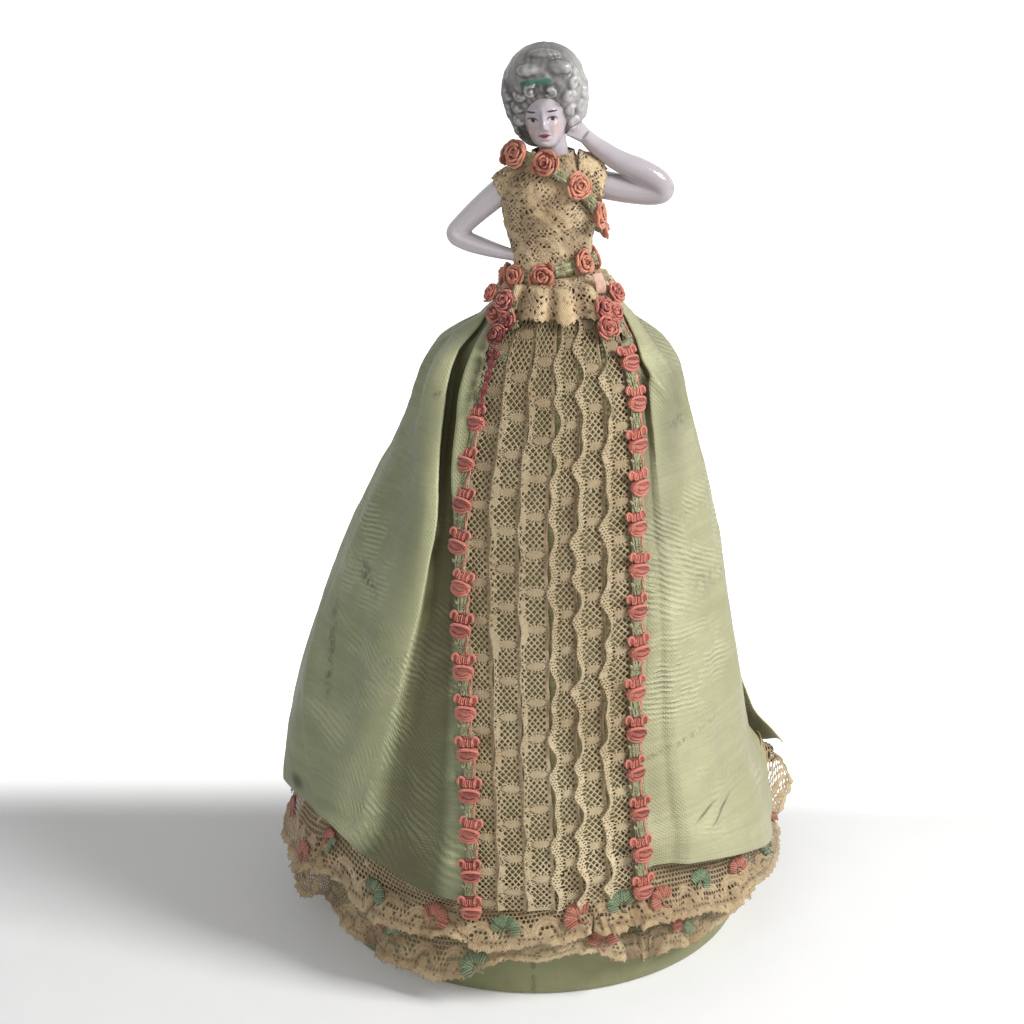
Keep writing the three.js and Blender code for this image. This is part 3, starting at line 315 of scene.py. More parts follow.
class Finish:
    """A new material with short calls for its nodes."""

    def __init__(self, name, **inputs):
        self.material = bpy.data.materials.new(name)
        self.material.use_nodes = True
        self.tree = self.material.node_tree
        self.shader = self.tree.nodes["Principled BSDF"]
        self.cloth = self.node("ShaderNodeUVMap", uv_map="cloth").outputs["UV"]
        self.place = self.node("ShaderNodeTexCoord").outputs["Object"]
        for socket, value in inputs.items():
            self.shader.inputs[socket.replace("_", " ")].default_value = value

    def node(self, kind, **settings):
        node = self.tree.nodes.new(kind)
        for key, value in settings.items():
            setattr(node, key, value)
        return node

    def put(self, socket, value):
        if isinstance(value, bpy.types.NodeSocket):
            self.tree.links.new(value, socket)
        else:
            socket.default_value = value

    def use(self, socket, value):
        self.put(self.shader.inputs[socket], value)

    def value(self, name):
        return self.node("ShaderNodeAttribute", attribute_name=name).outputs["Fac"]

    def maths(self, operation, a, b):
        node = self.node("ShaderNodeMath", operation=operation)
        self.put(node.inputs[0], a)
        self.put(node.inputs[1], b)
        return node.outputs[0]

    def times(self, a, b):
        return self.maths("MULTIPLY", a, b)

    def plus(self, a, b):
        return self.maths("ADD", a, b)

    def mix(self, share, a, b):
        """From colour a to b by share; each is a socket or the 0-255 values that a screen shows."""
        node = self.node("ShaderNodeMix", data_type="RGBA")
        self.put(node.inputs[0], share)
        for socket, colour in ((node.inputs[6], a), (node.inputs[7], b)):
            self.put(socket, screen(*colour) if isinstance(colour, tuple) else colour)
        return node.outputs[2]

    def tint(self, colour, share, strength, shade):
        """A colour with a shade laid over it, by share times strength."""
        return self.mix(self.times(share, strength), colour, shade)

    def band(self, value, low, high, bottom=0.0, top=1.0):
        node = self.node("ShaderNodeMapRange", interpolation_type="SMOOTHSTEP")
        for socket, entry in zip(node.inputs, (value, low, high, bottom, top)):
            self.put(socket, entry)
        return node.outputs[0]

    def stretched(self, vector, scale=(1, 1, 1), turn=0.0, move=(0, 0, 0)):
        node = self.node("ShaderNodeMapping")
        self.put(node.inputs["Vector"], vector)
        node.inputs["Scale"].default_value = scale
        node.inputs["Location"].default_value = move
        node.inputs["Rotation"].default_value = (0, 0, turn)
        return node.outputs[0]

    def cloudy(self, vector, scale, detail=3.0, roughness=0.5, distortion=0.0):
        node = self.node("ShaderNodeTexNoise")
        self.put(node.inputs["Vector"], vector)
        for key, entry in (("Scale", scale), ("Detail", detail), ("Roughness", roughness),
                           ("Distortion", distortion)):
            node.inputs[key].default_value = entry
        return node.outputs["Fac"]

    def waves(self, vector, scale, distortion=0.0, detail=2.0, rough=1.0, axis="X"):
        node = self.node("ShaderNodeTexWave", bands_direction=axis)
        self.put(node.inputs["Vector"], vector)
        for key, entry in (("Scale", scale), ("Distortion", distortion), ("Detail", detail),
                           ("Detail Scale", rough)):
            node.inputs[key].default_value = entry
        return node.outputs["Fac"]

    def spot(self, vector, middle, size, turn=0.0, soft=0.25):
        """1 inside an oval of the x-z plane and 0 outside, soft across its edge."""
        node = self.node("ShaderNodeMapping", vector_type="TEXTURE")
        self.put(node.inputs["Vector"], vector)
        node.inputs["Location"].default_value = (middle[0], 0, middle[1])
        node.inputs["Rotation"].default_value = (0, turn, 0)
        node.inputs["Scale"].default_value = (size[0], 1e4, size[1])
        length = self.node("ShaderNodeVectorMath", operation="LENGTH")
        self.put(length.inputs[0], node.outputs[0])
        return self.band(length.outputs["Value"], 1 - soft, 1 + soft, 1.0, 0.0)

    def bump(self, height, distance, strength=1.0):
        node = self.node("ShaderNodeBump")
        node.inputs["Strength"].default_value = strength
        node.inputs["Distance"].default_value = distance
        self.put(node.inputs["Height"], height)
        if self.shader.inputs["Normal"].is_linked:
            self.put(node.inputs["Normal"], self.shader.inputs["Normal"].links[0].from_socket)
        self.use("Normal", node.outputs[0])


def woven(finish, warp, weft, depth):
    """The crossing threads of a plain weave, warp and weft per unit of cloth."""
    across = finish.waves(finish.cloth, warp, 0.6, axis="X")
    down = finish.waves(finish.cloth, weft, 0.6, axis="Y")
    finish.bump(finish.plus(across, down), depth)


def oval_of(finish, x, z, half_width, half_height, turn, soft=0.5):
    """A soft oval mask on the object, in its x-z plane and in millimetres."""
    return finish.spot(finish.place, (x * MM, z * MM), (half_width * MM, half_height * MM), turn, soft)


def brocade(name, light, dark, seed, ribs=(), stains_and_shade=()):
    """Pale green satin brocade: patches of ribs on a twilled ground, with stains and some ovals of painted
    shade.

    Each patch of ribs is x, z, half width, half height, turn and the ribs' own turn on the cloth.
    Each stain or oval of painted shade is x, z, half width, half height, turn, strength and whether it is
    grained.
    """
    f = Finish(name, Roughness=0.4, Sheen_Weight=0.2, Sheen_Roughness=0.35)
    cloth = f.stretched(f.cloth, move=(seed, seed * 1.7, 0))
    scattered = f.band(f.cloudy(cloth, 2.4, 2, 0.5), 0.56, 0.64)
    scattered = f.times(scattered, 0.55)
    relief = f.times(scattered, f.waves(f.stretched(cloth, turn=1.2), 15, 3.5, 2, 0.6))
    for x, z, half_width, half_height, turn, way in ribs:
        lines = f.waves(f.stretched(cloth, turn=way), 17.5, 2.0, 2, 0.7)
        broken = f.band(f.cloudy(cloth, 7, 3, 0.6), 0.42, 0.6)
        patch = f.times(oval_of(f, x, z, half_width, half_height, turn), lines)
        relief = f.maths("MAXIMUM", relief, f.times(patch, broken))
    streaks = f.cloudy(f.stretched(cloth, (3, 70, 1)), 1.0, 4, 0.65)
    sheen = f.cloudy(f.stretched(cloth, (2.2, 5, 1)), 1.0, 3, 0.5)
    mottle = f.cloudy(f.place, 28, 5, 0.65)
    tone = f.plus(f.times(streaks, 0.4), f.times(mottle, 0.5))
    # Painted highlight: the ribs' relief also lightens the colour.
    tone = f.plus(tone, f.times(relief, 0.5))
    # Painted sheen: the broad satin light also lightens the colour.
    tone = f.plus(tone, f.times(sheen, 0.3))
    colour = f.mix(f.band(tone, 0.4, 0.95), dark, light)
    # Painted highlight: rim lightens the fold's crest and roll, the ridge past the fold, and the inside of
    # the back width's swung corner.
    colour = f.tint(colour, f.value("rim"), 0.75, (206, 206, 158))
    # More painted highlight on the raised ribs.
    colour = f.tint(colour, relief, 0.3, (208, 210, 166))
    darkening = f.band(f.cloudy(f.place, 60, 5, 0.75, 0.6), 0.64, 0.74)
    colour = f.tint(colour, darkening, 0.22, (104, 104, 70))
    specks = f.band(f.cloudy(f.place, 520, 2, 0.6), 0.74, 0.8)
    colour = f.tint(colour, specks, 0.3, (92, 90, 60))
    grain = f.band(f.cloudy(f.place, 380, 4, 0.7, 0.5), 0.42, 0.6)
    for x, z, half_width, half_height, turn, strength, grained in stains_and_shade:
        share = oval_of(f, x, z, half_width, half_height, turn, 0.7)
        share = f.times(share, grain) if grained else share
        colour = f.tint(colour, share, strength, (56, 64, 42))
    # Painted shade in the valley between the fold and the braid, and along the braid's side.
    colour = f.tint(colour, f.value("valley_shade"), 0.9, (65, 61, 10))
    f.use("Base Color", colour)
    f.use("Roughness", f.band(sheen, 0.3, 0.7, 0.5, 0.34))
    f.bump(relief, 0.0008, 0.9)
    f.bump(f.waves(f.stretched(f.cloth, turn=0.62), 34, 0.8, 2), 0.00007)
    woven(f, 62, 46, 0.00005)
    f.bump(f.plus(streaks, f.cloudy(f.place, 170, 4, 0.6)), 0.0005, 0.45)
    return f


def lace_cotton(name, light, dark, hollow, outline):
    """Lace cotton: pale in the middle of each thread, with painted shade at its edge, browner by its pattern
    and with painted shade down in the folds.
    """
    f = Finish(name, Roughness=0.85, Sheen_Weight=0.2, Sheen_Roughness=0.5)
    aged = f.cloudy(f.place, 34, 5, 0.65, 0.4)
    knots = f.cloudy(f.cloth, 190, 2, 0.6)
    tone = f.plus(f.times(aged, 0.8), f.times(knots, 0.35))
    colour = f.mix(f.band(tone, 0.4, 0.8), dark, light)
    # Painted shade: each thread is darkened towards its edge by outline, so that it looks round.
    colour = f.tint(colour, f.maths("SUBTRACT", 1.0, f.value("core")), outline, hollow)
    colour = f.mix(f.value("tone_and_fold_shade"), colour, hollow)
    f.use("Base Color", colour)
    f.bump(f.waves(f.stretched(f.cloth, turn=0.6), 72, 2.0, 2), 0.00012)
    f.bump(f.cloudy(f.place, 2400, 2, 0.6), 0.00012, 0.7)
    return f


def satin_thread(name, light, dark, stripes=70):
    """Floss and ribbon: fine bright lines along it as painted satin sheen, with the tone of each part."""
    f = Finish(name, Roughness=0.34, Sheen_Weight=0.25, Sheen_Roughness=0.4)
    lines = f.waves(f.stretched(f.cloth, turn=0.15), stripes, 1.5, 2)
    tone = f.plus(f.times(lines, 0.3), f.value("tone"))
    tone = f.plus(tone, f.times(f.cloudy(f.place, 260, 3, 0.6), 0.35))
    f.use("Base Color", f.mix(f.band(tone, 0.25, 1.15), dark, light))
    f.bump(lines, 0.00016)
    return f


COTTON = lace_cotton("ecru_lace", (230, 214, 177), (196, 175, 136), (118, 90, 58), 0.32)
TAN_COTTON = lace_cotton("tan_lace", (240, 218, 178), (206, 178, 136), (104, 74, 46), 0.5)
HEM_COTTON = lace_cotton("aged_lace", (220, 198, 158), (176, 147, 108), (88, 62, 36), 0.35)
# The left width's brocade is given darker, greyer colours than the right's: painted shade on the side away
# from the key lamp, for the same cloth.
BROCADE_LEFT = brocade(
    "brocade_left", (174, 178, 136), (130, 136, 102), 0.3,
    ribs=[(-60, 150, 9, 17, 0.15, 1.75), (-50, 112, 11, 17, 0.3, 0.95), (-53, 72, 14, 24, 0.45, 0.7)],
    stains_and_shade=[(-58.6, 140.9, 2.2, 4.6, -0.5, 0.8, True), (-33.1, 205.5, 2.6, 1.6, 0.3, 0.55, True),
           (-72.4, 112, 1.1, 15, 0.1, 0.7, True), (-86, 62, 2.2, 2.6, 0, 0.85, False)])
# On the right width the first two ovals are painted shade; the rest are stains and marks.
BROCADE_RIGHT = brocade(
    "brocade_right", (194, 191, 152), (158, 156, 118), 4.1,
    ribs=[(52, 152, 17, 17, 0.3, 1.12), (50, 112, 16, 13, 0, 1.45)],
    stains_and_shade=[(43, 204, 11, 16, -0.35, 0.34, False), (44, 172, 6, 34, 0.1, 0.26, False),
           (49.2, 193.8, 3.6, 1.5, 0.5, 0.5, True), (59.8, 62.5, 3.2, 0.55, -0.45, 0.7, False),
           (66, 59, 3.6, 0.6, -0.6, 0.7, False), (48, 88.5, 12, 0.9, -0.2, 0.55, True),
           (63, 138, 9, 3, 0.3, 0.3, True)])
BROCADE_BACK = brocade("brocade_back", (184, 184, 142), (140, 142, 104), 7.7)
ROSE = satin_thread("coral_ribbon", (228, 140, 120), (110, 28, 26))
SALMON = satin_thread("salmon_ribbon", (234, 158, 128), (144, 58, 42))
LEAF = satin_thread("leaf_gauze", (182, 178, 138), (94, 96, 62))
PINK_FLOSS = satin_thread("pink_floss", (222, 142, 118), (156, 84, 66), 110)
GREEN_FLOSS = satin_thread("green_floss", (152, 172, 132), (92, 112, 78), 110)
PEACH = satin_thread("peach_ribbon", (240, 200, 178), (205, 140, 112))


def taffeta(name, light, dark):
    f = Finish(name, Roughness=0.5, Sheen_Weight=0.15, Sheen_Roughness=0.4)
    tone = f.cloudy(f.place, 34, 5, 0.65, 0.5)
    slubs = f.cloudy(f.stretched(f.cloth, (6, 160, 1)), 1.0, 3, 0.6)
    share = f.plus(f.times(tone, 0.7), f.times(slubs, 0.35))
    f.use("Base Color", f.mix(share, dark, light))
    woven(f, 80, 64, 0.00006)
    f.bump(f.cloudy(f.place, 90, 4, 0.6), 0.0006, 0.5)
    return f


UNDER_TAFFETA = taffeta("underskirt_taffeta", (158, 150, 104), (104, 98, 62))
BASE_TAFFETA = taffeta("base_taffeta", (162, 162, 116), (112, 114, 80))


def plain_inside(name, light, dark, scale, depth):
    """Card, wadding and thread that the cloth hides."""
    f = Finish(name, Roughness=0.9)
    grain = f.cloudy(f.place, scale, 5, 0.7, 0.3)
    f.use("Base Color", f.mix(grain, dark, light))
    f.bump(grain, depth)
    return f


CARD = plain_inside("grey_card", (160, 148, 128), (120, 108, 90), 900, 0.0001)
WADDING = plain_inside("cotton_wadding", (224, 212, 184), (182, 166, 132), 260, 0.0009)
SEWING = plain_inside("sewing_thread", (216, 206, 172), (160, 148, 112), 1800, 0.0001)


# Lace: flat cut-outs whose holes are real, laid on a surface

def cut_cloth(width, length, step, field):
    """Points (u, v) and faces of the part of a flat sheet where field(u, v) is over 0."""
    columns, rows = int(round(width / step)), int(round(length / step))
    u, v = np.meshgrid(np.linspace(0, width, columns + 1), np.linspace(0, length, rows + 1))
    corner = np.arange((columns + 1) * (rows + 1)).reshape(rows + 1, columns + 1)
    middle = corner.size + np.arange(columns * rows).reshape(rows, columns)
    mid_u = (u[:-1, :-1] + u[1:, 1:]) / 2
    mid_v = (v[:-1, :-1] + v[1:, 1:]) / 2
    points = np.concatenate([np.stack([a, b], -1).reshape(-1, 2) for a, b in ((u, v), (mid_u, mid_v))])
    a, b, c, d = corner[:-1, :-1], corner[:-1, 1:], corner[1:, 1:], corner[1:, :-1]
    triangles = np.concatenate([np.stack([p, q, middle], -1).reshape(-1, 3)
                                for p, q in ((a, b), (b, c), (c, d), (d, a))])
    f = field(points[:, 0], points[:, 1])
    inside = f > 0
    count = inside[triangles].sum(1)

    def odd_first(chosen, state):
        """Each triangle turned until its one corner of that state comes first."""
        odd = np.argmax(inside[chosen] == state, axis=1)
        return np.take_along_axis(chosen, (odd[:, None] + np.arange(3)) % 3, 1)

    one = odd_first(triangles[count == 1], True)
    two = odd_first(triangles[count == 2], False)
    edges = np.sort(np.concatenate([one[:, :2], one[:, ::2], two[:, :2], two[:, ::2]]), axis=1)
    unique, where = np.unique(edges[:, 0] * len(points) + edges[:, 1], return_inverse=True)
    low, high = unique // len(points), unique % len(points)
    share = np.clip(f[low] / (f[low] - f[high]), 0.06, 0.94)[:, None]
    cuts = points[low] + (points[high] - points[low]) * share
    where = where.ravel() + len(points)
    n, m = len(one), len(two)
    corners = np.stack([one[:, 0], where[:n], where[n:2 * n]], -1)
    quads = np.stack([where[2 * n:2 * n + m], two[:, 1], two[:, 2], where[2 * n + m:]], -1)
    triangles = np.concatenate([triangles[count == 3], corners])
    points = np.concatenate([points, cuts])
    body = np.concatenate([np.maximum(f, 0), np.zeros(len(cuts))])
    used, flat = np.unique(np.concatenate([triangles.ravel(), quads.ravel()]), return_inverse=True)
    flat = flat.ravel()
    faces = [flat[:triangles.size].reshape(-1, 3), flat[triangles.size:].reshape(-1, 4)]
    return points[used], faces, body[used]


def lace(name, finish, width, length, step, field, surface, replaces=(), thickness=0.3,
         slot="lace", tone_and_fold_shade=None):
    """A lace piece cut by field and laid on surface(u, v), as thick threads with real holes."""
    points, faces, body = cut_cloth(width, length, step, field)
    u, v = points.T
    laid = surface(u, v)
    du = surface(u + 0.3, v) - surface(u - 0.3, v)
    dv = surface(u, v + 0.3) - surface(u, v - 0.3)
    normal = unit(np.cross(du, dv))
    rise = thickness * (0.35 + 0.65 * smooth(body, 0, 0.16))[:, None] / 2
    size = len(points)
    solid = np.concatenate([laid + normal * rise, laid - normal * rise])
    edges = np.concatenate([np.stack([g, np.roll(g, -1, 1)], -1).reshape(-1, 2) for g in faces])
    key, back_key = edges[:, 0] * size + edges[:, 1], edges[:, 1] * size + edges[:, 0]
    open_edges = edges[~np.isin(key, back_key)]
    rim = np.stack([open_edges[:, 1], open_edges[:, 0], open_edges[:, 0] + size, open_edges[:, 1] + size], -1)
    groups = [*faces, *[g[:, ::-1] + size for g in faces], rim]
    uv = np.concatenate([points, points]) / 100
    shade = tone_and_fold_shade(u, v) if tone_and_fold_shade else np.zeros(size)
    values = {"core": np.tile(smooth(body, 0, 0.2), 2), "tone_and_fold_shade": np.tile(shade, 2)}
    obj = piece(name, solid, groups, finish, slot, replaces, uv=uv, values=values)
    return obj


def oval(u, v, size_u, size_v):
    """A distance-like value: over 0 inside an oval round (0, 0)."""
    return (1 - np.sqrt((u / size_u) ** 2 + (v / size_v) ** 2)) * min(size_u, size_v)


def diamond_net(u, v, spacing, thread):
    """Over 0 on the threads of a diagonal net."""
    one = np.abs((u + v) / math.sqrt(2) % spacing)
    two = np.abs((u - v) / math.sqrt(2) % spacing)
    away = np.minimum(np.minimum(one, spacing - one), np.minimum(two, spacing - two))
    return thread / 2 - away


def cloth_piece(name, grid, thickness, finish, slot, replaces=(), closed=False, values=None):
    """A gathered sheet of cloth from a grid of its middle."""
    points, faces, uv = thick_grid(grid, thickness, closed)
    both_sides = {}
    for key, value in (values or {}).items():
        both_sides[key] = np.tile(np.broadcast_to(value, grid.shape[:2]).ravel(), 2)
    obj = piece(name, points, faces, finish, slot, replaces, uv=uv, values=both_sides)
    return obj


# Camera, light and floor

def look_from(place, target):
    return (Vector(target) - Vector(place)).to_track_quat("-Z", "Y").to_euler()


PICTURE_SIZE = 1024
FOCAL_LENGTH = 2238  # in pixels of the picture
SENSOR_WIDTH = 36
CAMERA_PLACE = (-0.0083, -0.75, 0.451)
CAMERA_TILT = 21.7  # degrees down
# Columns: name, place in metres, size in metres, watts
LAMPS = [("key", (0.95, -0.42, 0.88), 0.42, 15.6), ("fill", (-0.5, -1.1, 0.75), 0.9, 2.7)]
LAMP_TARGET = (0, 0, 0.14)
FLOOR_REACH = 3000


def stage():
    scene = bpy.context.scene
    scene.view_settings.view_transform = "Standard"
    camera_data = bpy.data.cameras.new("camera")
    camera_data.sensor_width = SENSOR_WIDTH
    camera_data.lens = SENSOR_WIDTH * FOCAL_LENGTH / PICTURE_SIZE
    camera = bpy.data.objects.new("camera", camera_data)
    camera.location = CAMERA_PLACE
    camera.rotation_euler = (math.radians(90 - CAMERA_TILT), 0, 0)
    scene.collection.objects.link(camera)
    scene.camera = camera

    for name, place, size, watts in LAMPS:
        data = bpy.data.lights.new(name, "AREA")
        data.size, data.energy = size, watts
        lamp = bpy.data.objects.new(name, data)
        lamp.location = place
        lamp.rotation_euler = look_from(place, LAMP_TARGET)
        scene.collection.objects.link(lamp)

    world = bpy.data.worlds.new("studio")
    world.use_nodes = True
    tree = world.node_tree
    background = tree.nodes["Background"]
    rays = tree.nodes.new("ShaderNodeLightPath")
    seen = rays.outputs["Is Camera Ray"]
    for ray in ("Is Glossy Ray", "Is Transmission Ray"):
        either = tree.nodes.new("ShaderNodeMath")
        either.operation = "ADD"
        either.use_clamp = True
        tree.links.new(seen, either.inputs[0])
        tree.links.new(rays.outputs[ray], either.inputs[1])
        seen = either.outputs[0]
    strength = tree.nodes.new("ShaderNodeMapRange")
    tree.links.new(seen, strength.inputs["Value"])
    strength.inputs["To Min"].default_value = 0.25
    strength.inputs["To Max"].default_value = 1.0
    tree.links.new(strength.outputs[0], background.inputs["Strength"])
    background.inputs["Color"].default_value = (1, 1, 1, 1)
    scene.world = world

    f = Finish("pale_floor", Roughness=0.9)
    paper = f.cloudy(f.place, 60, 4)
    f.use("Base Color", f.mix(paper, (244, 244, 244), (250, 250, 250)))
    f.shader.inputs["Specular IOR Level"].default_value = 0.1
    f.shader.inputs["Emission Color"].default_value = (1, 1, 1, 1)
    split = f.node("ShaderNodeSeparateXYZ")
    f.put(split.inputs[0], f.place)
    light_path = f.node("ShaderNodeLightPath")
    # Camera rays see the floor glow: fully white behind the object as a backdrop, and faintly in front, which
    # lightens the shadow there as painted light.
    behind = f.band(split.outputs["Y"], 0.045, 0.1, 0.1, 1.0)
    f.use("Emission Strength", f.times(light_path.outputs["Is Camera Ray"], behind))
    corners = np.array([(-1, -1, 0), (1, -1, 0), (1, 1, 0), (-1, 1, 0)]) * FLOOR_REACH
    floor = add_object("floor", corners, np.array([[0, 1, 2, 3]]), f.material, False)


stage()


# Base: a padded round drum in green cloth, with the cloth turned in underneath


def base():
    turns, edge = 320, 2.0
    angle = np.linspace(0, TURN, turns, endpoint=False)
    inner = BASE_RADIUS - 0.8
    profile = [(inner - 8, 0.45), (inner - 8, 0), (BASE_RADIUS - edge, 0), (BASE_RADIUS - 0.6, 0.6)]
    profile += [(BASE_RADIUS, h) for h in np.linspace(edge, BASE_TOP, 22)]
    profile += [(inner, BASE_TOP), (inner, edge), (inner - 1, 0.8), (inner - 8, 0.8)]
    radius, height = np.array(profile).T[:, :, None]
    side = smooth(height, 1, 5) * (radius > BASE_RADIUS - 0.1)
    around = angle[None] * BASE_RADIUS
    ticks = noise(around, height * 0.25, 2.4, 11) ** 2 * np.exp(-((height - 3) / 4) ** 2)
    low = -0.9 * ticks + 0.5 * np.sin(PI * np.clip(height / BASE_TOP, 0, 1))
    dents = 0.45 * noise(around, height, 26, 12)
    radius = radius + side * (low + dents)
    grid = np.stack([radius * np.sin(angle), -radius * np.cos(angle), height + 0 * radius], -1)
    rows = len(profile)
    faces = grid_quads(rows, turns, close_rows=True, close_columns=True)[:, ::-1]
    uv = np.stack([np.broadcast_to(around, radius.shape), height + 0 * radius], -1).reshape(-1, 2) / 100
    obj = piece("base_cover_cloth", grid.reshape(-1, 3), faces, BASE_TAFFETA, "taffeta",
                ("base_cover",), uv=uv)


base()


# Skirt layers

def underskirt():
    angle = np.linspace(-PI, PI, 240, endpoint=False)[None]
    place = np.linspace(0.002, place_of(26.3), 120)[:, None]
    girth = angle * bell_half_width(place)
    wrinkles = 0.18 * noise(girth, place * 90, 18, 21) - 0.1
    grid = bell(angle, place, wrinkles - 0.3)
    cloth_piece("underskirt_cloth", grid, 0.4, UNDER_TAFFETA, "taffeta",
                ("underskirt",), closed=True)


underskirt()

SCALLOP = 12.73
STRIP_WIDTH = 12.0
STRIP_LENGTH = 206.0
STRIP_TOP, STRIP_BOTTOM = 0.024, place_of(38)
EDGING_STEP = 0.4714  # with a net of five half steps, each thread runs through grid points
NET_SPACING = 5 * EDGING_STEP / math.sqrt(2)


def waist_ease(place):
    """How much farther the layers stand off near the waist."""
    return 0.5 * (1 - smooth(place, 0.12, 0.26))


def edging_places(u, v, fancy):
    """Where a spot of the front lace is: in from its edge, from and round its oval, in from its heading."""
    scallop = 1.2 if fancy else 0.5
    phase = TURN * v / SCALLOP
    inward = u - 0.3 - scallop * (0.5 + 0.5 * np.cos(phase)) + 0.2 * np.cos(PI * v / EDGING_STEP)
    from_middle = (v + SCALLOP / 2) % SCALLOP - SCALLOP / 2
    reach = np.hypot((u - 6.7) / 2.1, from_middle)
    around = np.arctan2(from_middle, (u - 6.7) / 2.1)
    outward = STRIP_WIDTH - 0.15 - 0.5 * (0.5 - 0.5 * np.cos(phase)) - u
    return inward, reach, around, outward


def edging(u, v, fancy):
    """Front lace: a pin-holed scalloped band or two fine cords, a net with ovals and a plain heading."""
    inward, reach, around, outward = edging_places(u, v, fancy)
    pins = np.cos(PI * u / EDGING_STEP) * np.cos(PI * v / (2 * EDGING_STEP)) > 0.9
    pins = pins & (noise(u, v, 2.2, 29) > -0.5) & (inward > 0.4)
    pitch = SCALLOP / 9
    ticks = 0.26 - np.abs((v / pitch) % 1 - 0.5) * pitch
    net = diamond_net(u, v, NET_SPACING, 0.46 + 0.1 * noise(u, v, 6.5, 43))
    spokes = 0.24 - np.abs(np.sin(around * 9)) * reach / 5
    net = np.where(reach < 2.3, np.maximum(spokes, 0.16 - np.abs(reach - 2.2)), net)
    net = np.where(reach < 1.15 + 0.35 * noise(u, v, 2.6, 47), 0.16, net)
    if fancy:
        cloth = np.where(inward < 3.2, ticks, net)
        cloth = np.where(inward < 2.4, np.where(pins, -0.35, 0.22), cloth)
    else:
        straight = np.abs(inward - 0.3)
        waved = np.abs(inward - 1.5 - 0.4 * np.sin(TURN * v / SCALLOP))
        cloth = np.maximum(net, 0.22 - np.minimum(straight, waved))
        cloth = np.where((inward < 2.6) & (noise(u, v, 2.4, 37) > 0.1), np.maximum(cloth, 0.1), cloth)
    cloth = np.where(outward < 1.5, np.where(outward < 0.5, 0.22, 0.09), cloth)
    return np.minimum(cloth, np.minimum(inward, outward))


def edging_shade(u, v, fancy):
    """How brown each spot of the front lace is: its ovals a little, its heading more."""
    _, reach, _, outward = edging_places(u, v, fancy)
    heading = 0.42 if fancy else 0.2
    return 0.16 * (reach < 1.2) + heading * ((outward > 0.5) & (outward < 1.55))


# Columns: each strip's overlap, ruffle and lift, and whether its edge is a scalloped band
STRIP_SHAPES = [
    (0.3, 0.5, 0.6, False), (1.0, 0.5, 0.8, False), (1.0, 0.55, 0.8, False),
    (0.5, 1.0, 1.6, True), (2.0, 1.15, 2.7, True), (2.2, 1.2, 2.7, True),
]


def front_strip(index, lap, ruffled, lifted, fancy):
    """One strip of front lace, with its ruffled free edge over the strip before it."""
    shift = 11 * EDGING_STEP * index

    def laid(u, v):
        place = lerp(STRIP_TOP, STRIP_BOTTOM, v / STRIP_LENGTH)
        left, right = along(PANEL, place, 1), along(PANEL, place, 2)
        pitch = (right - left) / len(STRIP_SHAPES)
        share = u / STRIP_WIDTH
        free = np.clip(1 - share / 0.42, 0, 1) ** 1.5
        ruffle = np.sin(TURN * v / 24 + 2.1 * index + 2.4 * noise(v, index * 9.0, 34, 31 + index))
        ruffle = ruffle + 0.45 * np.sin(TURN * v / SCALLOP + 1.3 * index)
        wander = (ruffled * ruffle + 0.6 * noise(v, index * 5.0, 26, 41)) * free
        overlap = lap * np.minimum(pitch / 9.9, 1)
        x = left + pitch * index - overlap + (pitch + overlap) * share + wander
        lift = lifted * (1 + 0.4 * ruffle + 0.3 * noise(v, index * 7.0, 9, 51)) * free
        bulge = 0.4 * noise(u, v, 9, 61 + index) * (1 - free)
        stand = 0.95 + waist_ease(place) + lift + bulge + 0.3 * (1 - share) + 1.5 * smooth(place, 0.86, 0.92)
        return bell(angle_at_x(x, place), place, np.maximum(stand, 0.75))

    def field(u, v):
        return edging(u, v + shift, fancy)

    def strip_tone(u, v):
        # Darker towards the top of the strip, and more at its very top.
        darkening = 0.28 * (1 - smooth(v, 110, 180)) + 0.12 * (1 - smooth(v, 8, 40))
        return np.clip(edging_shade(u, v + shift, fancy) + darkening, 0, 1)
    lace(f"front_lace_{index + 1}", COTTON, STRIP_WIDTH, STRIP_LENGTH, EDGING_STEP, field, laid,
         (f"lace_strip_{index + 1}",), tone_and_fold_shade=strip_tone)


for strip, shape in enumerate(STRIP_SHAPES):
    front_strip(strip, *shape)

# Overskirt. Columns: place, valley width, fold height, turn-under, share of sharp fold, side stand.
LEFT_FOLD = [
    (0, 3, 0.6, 0.8, 1, 1), (0.045, 6, 2.4, 1.6, 1, 2), (0.11, 9.4, 6.6, 3, 1, 6.2),
    (0.2, 10.0, 7, 3, 1, 5.0), (0.29, 7.2, 7, 2.6, 1, 4.2), (0.34, 6.6, 7, 2.2, 0.9, 4.6),
    (0.4, 9, 7, 1.6, 0.8, 4.8), (0.48, 13, 6.8, 1.0, 0.6, 4.6), (0.56, 18.5, 6.2, 0.6, 0.4, 4.8),
    (0.66, 25.5, 5.6, 0.3, 0.2, 5), (0.8, 36, 4.9, 0, 0, 5.4), (1, 46, 4.2, 0, 0, 5.6),
]
RIGHT_FOLD = [
    (0, 3, 0.6, 0.8, 1, 1), (0.045, 3.4, 2.2, 1.6, 1, 2), (0.11, 4.8, 4.6, 2.2, 1, 6.8),
    (0.2, 5.6, 3.8, 1.2, 0.5, 5.4), (0.3, 8, 3.0, 0.3, 0.15, 4.4), (0.42, 12, 2.6, 0, 0, 4),
    (0.72, 16, 3.4, 0, 0, 4.4), (0.86, 18, 4, 0, 0, 3.8), (0.94, 18, 4, 0, 0, 7), (1, 18, 4, 0, 0, 10.2),
]
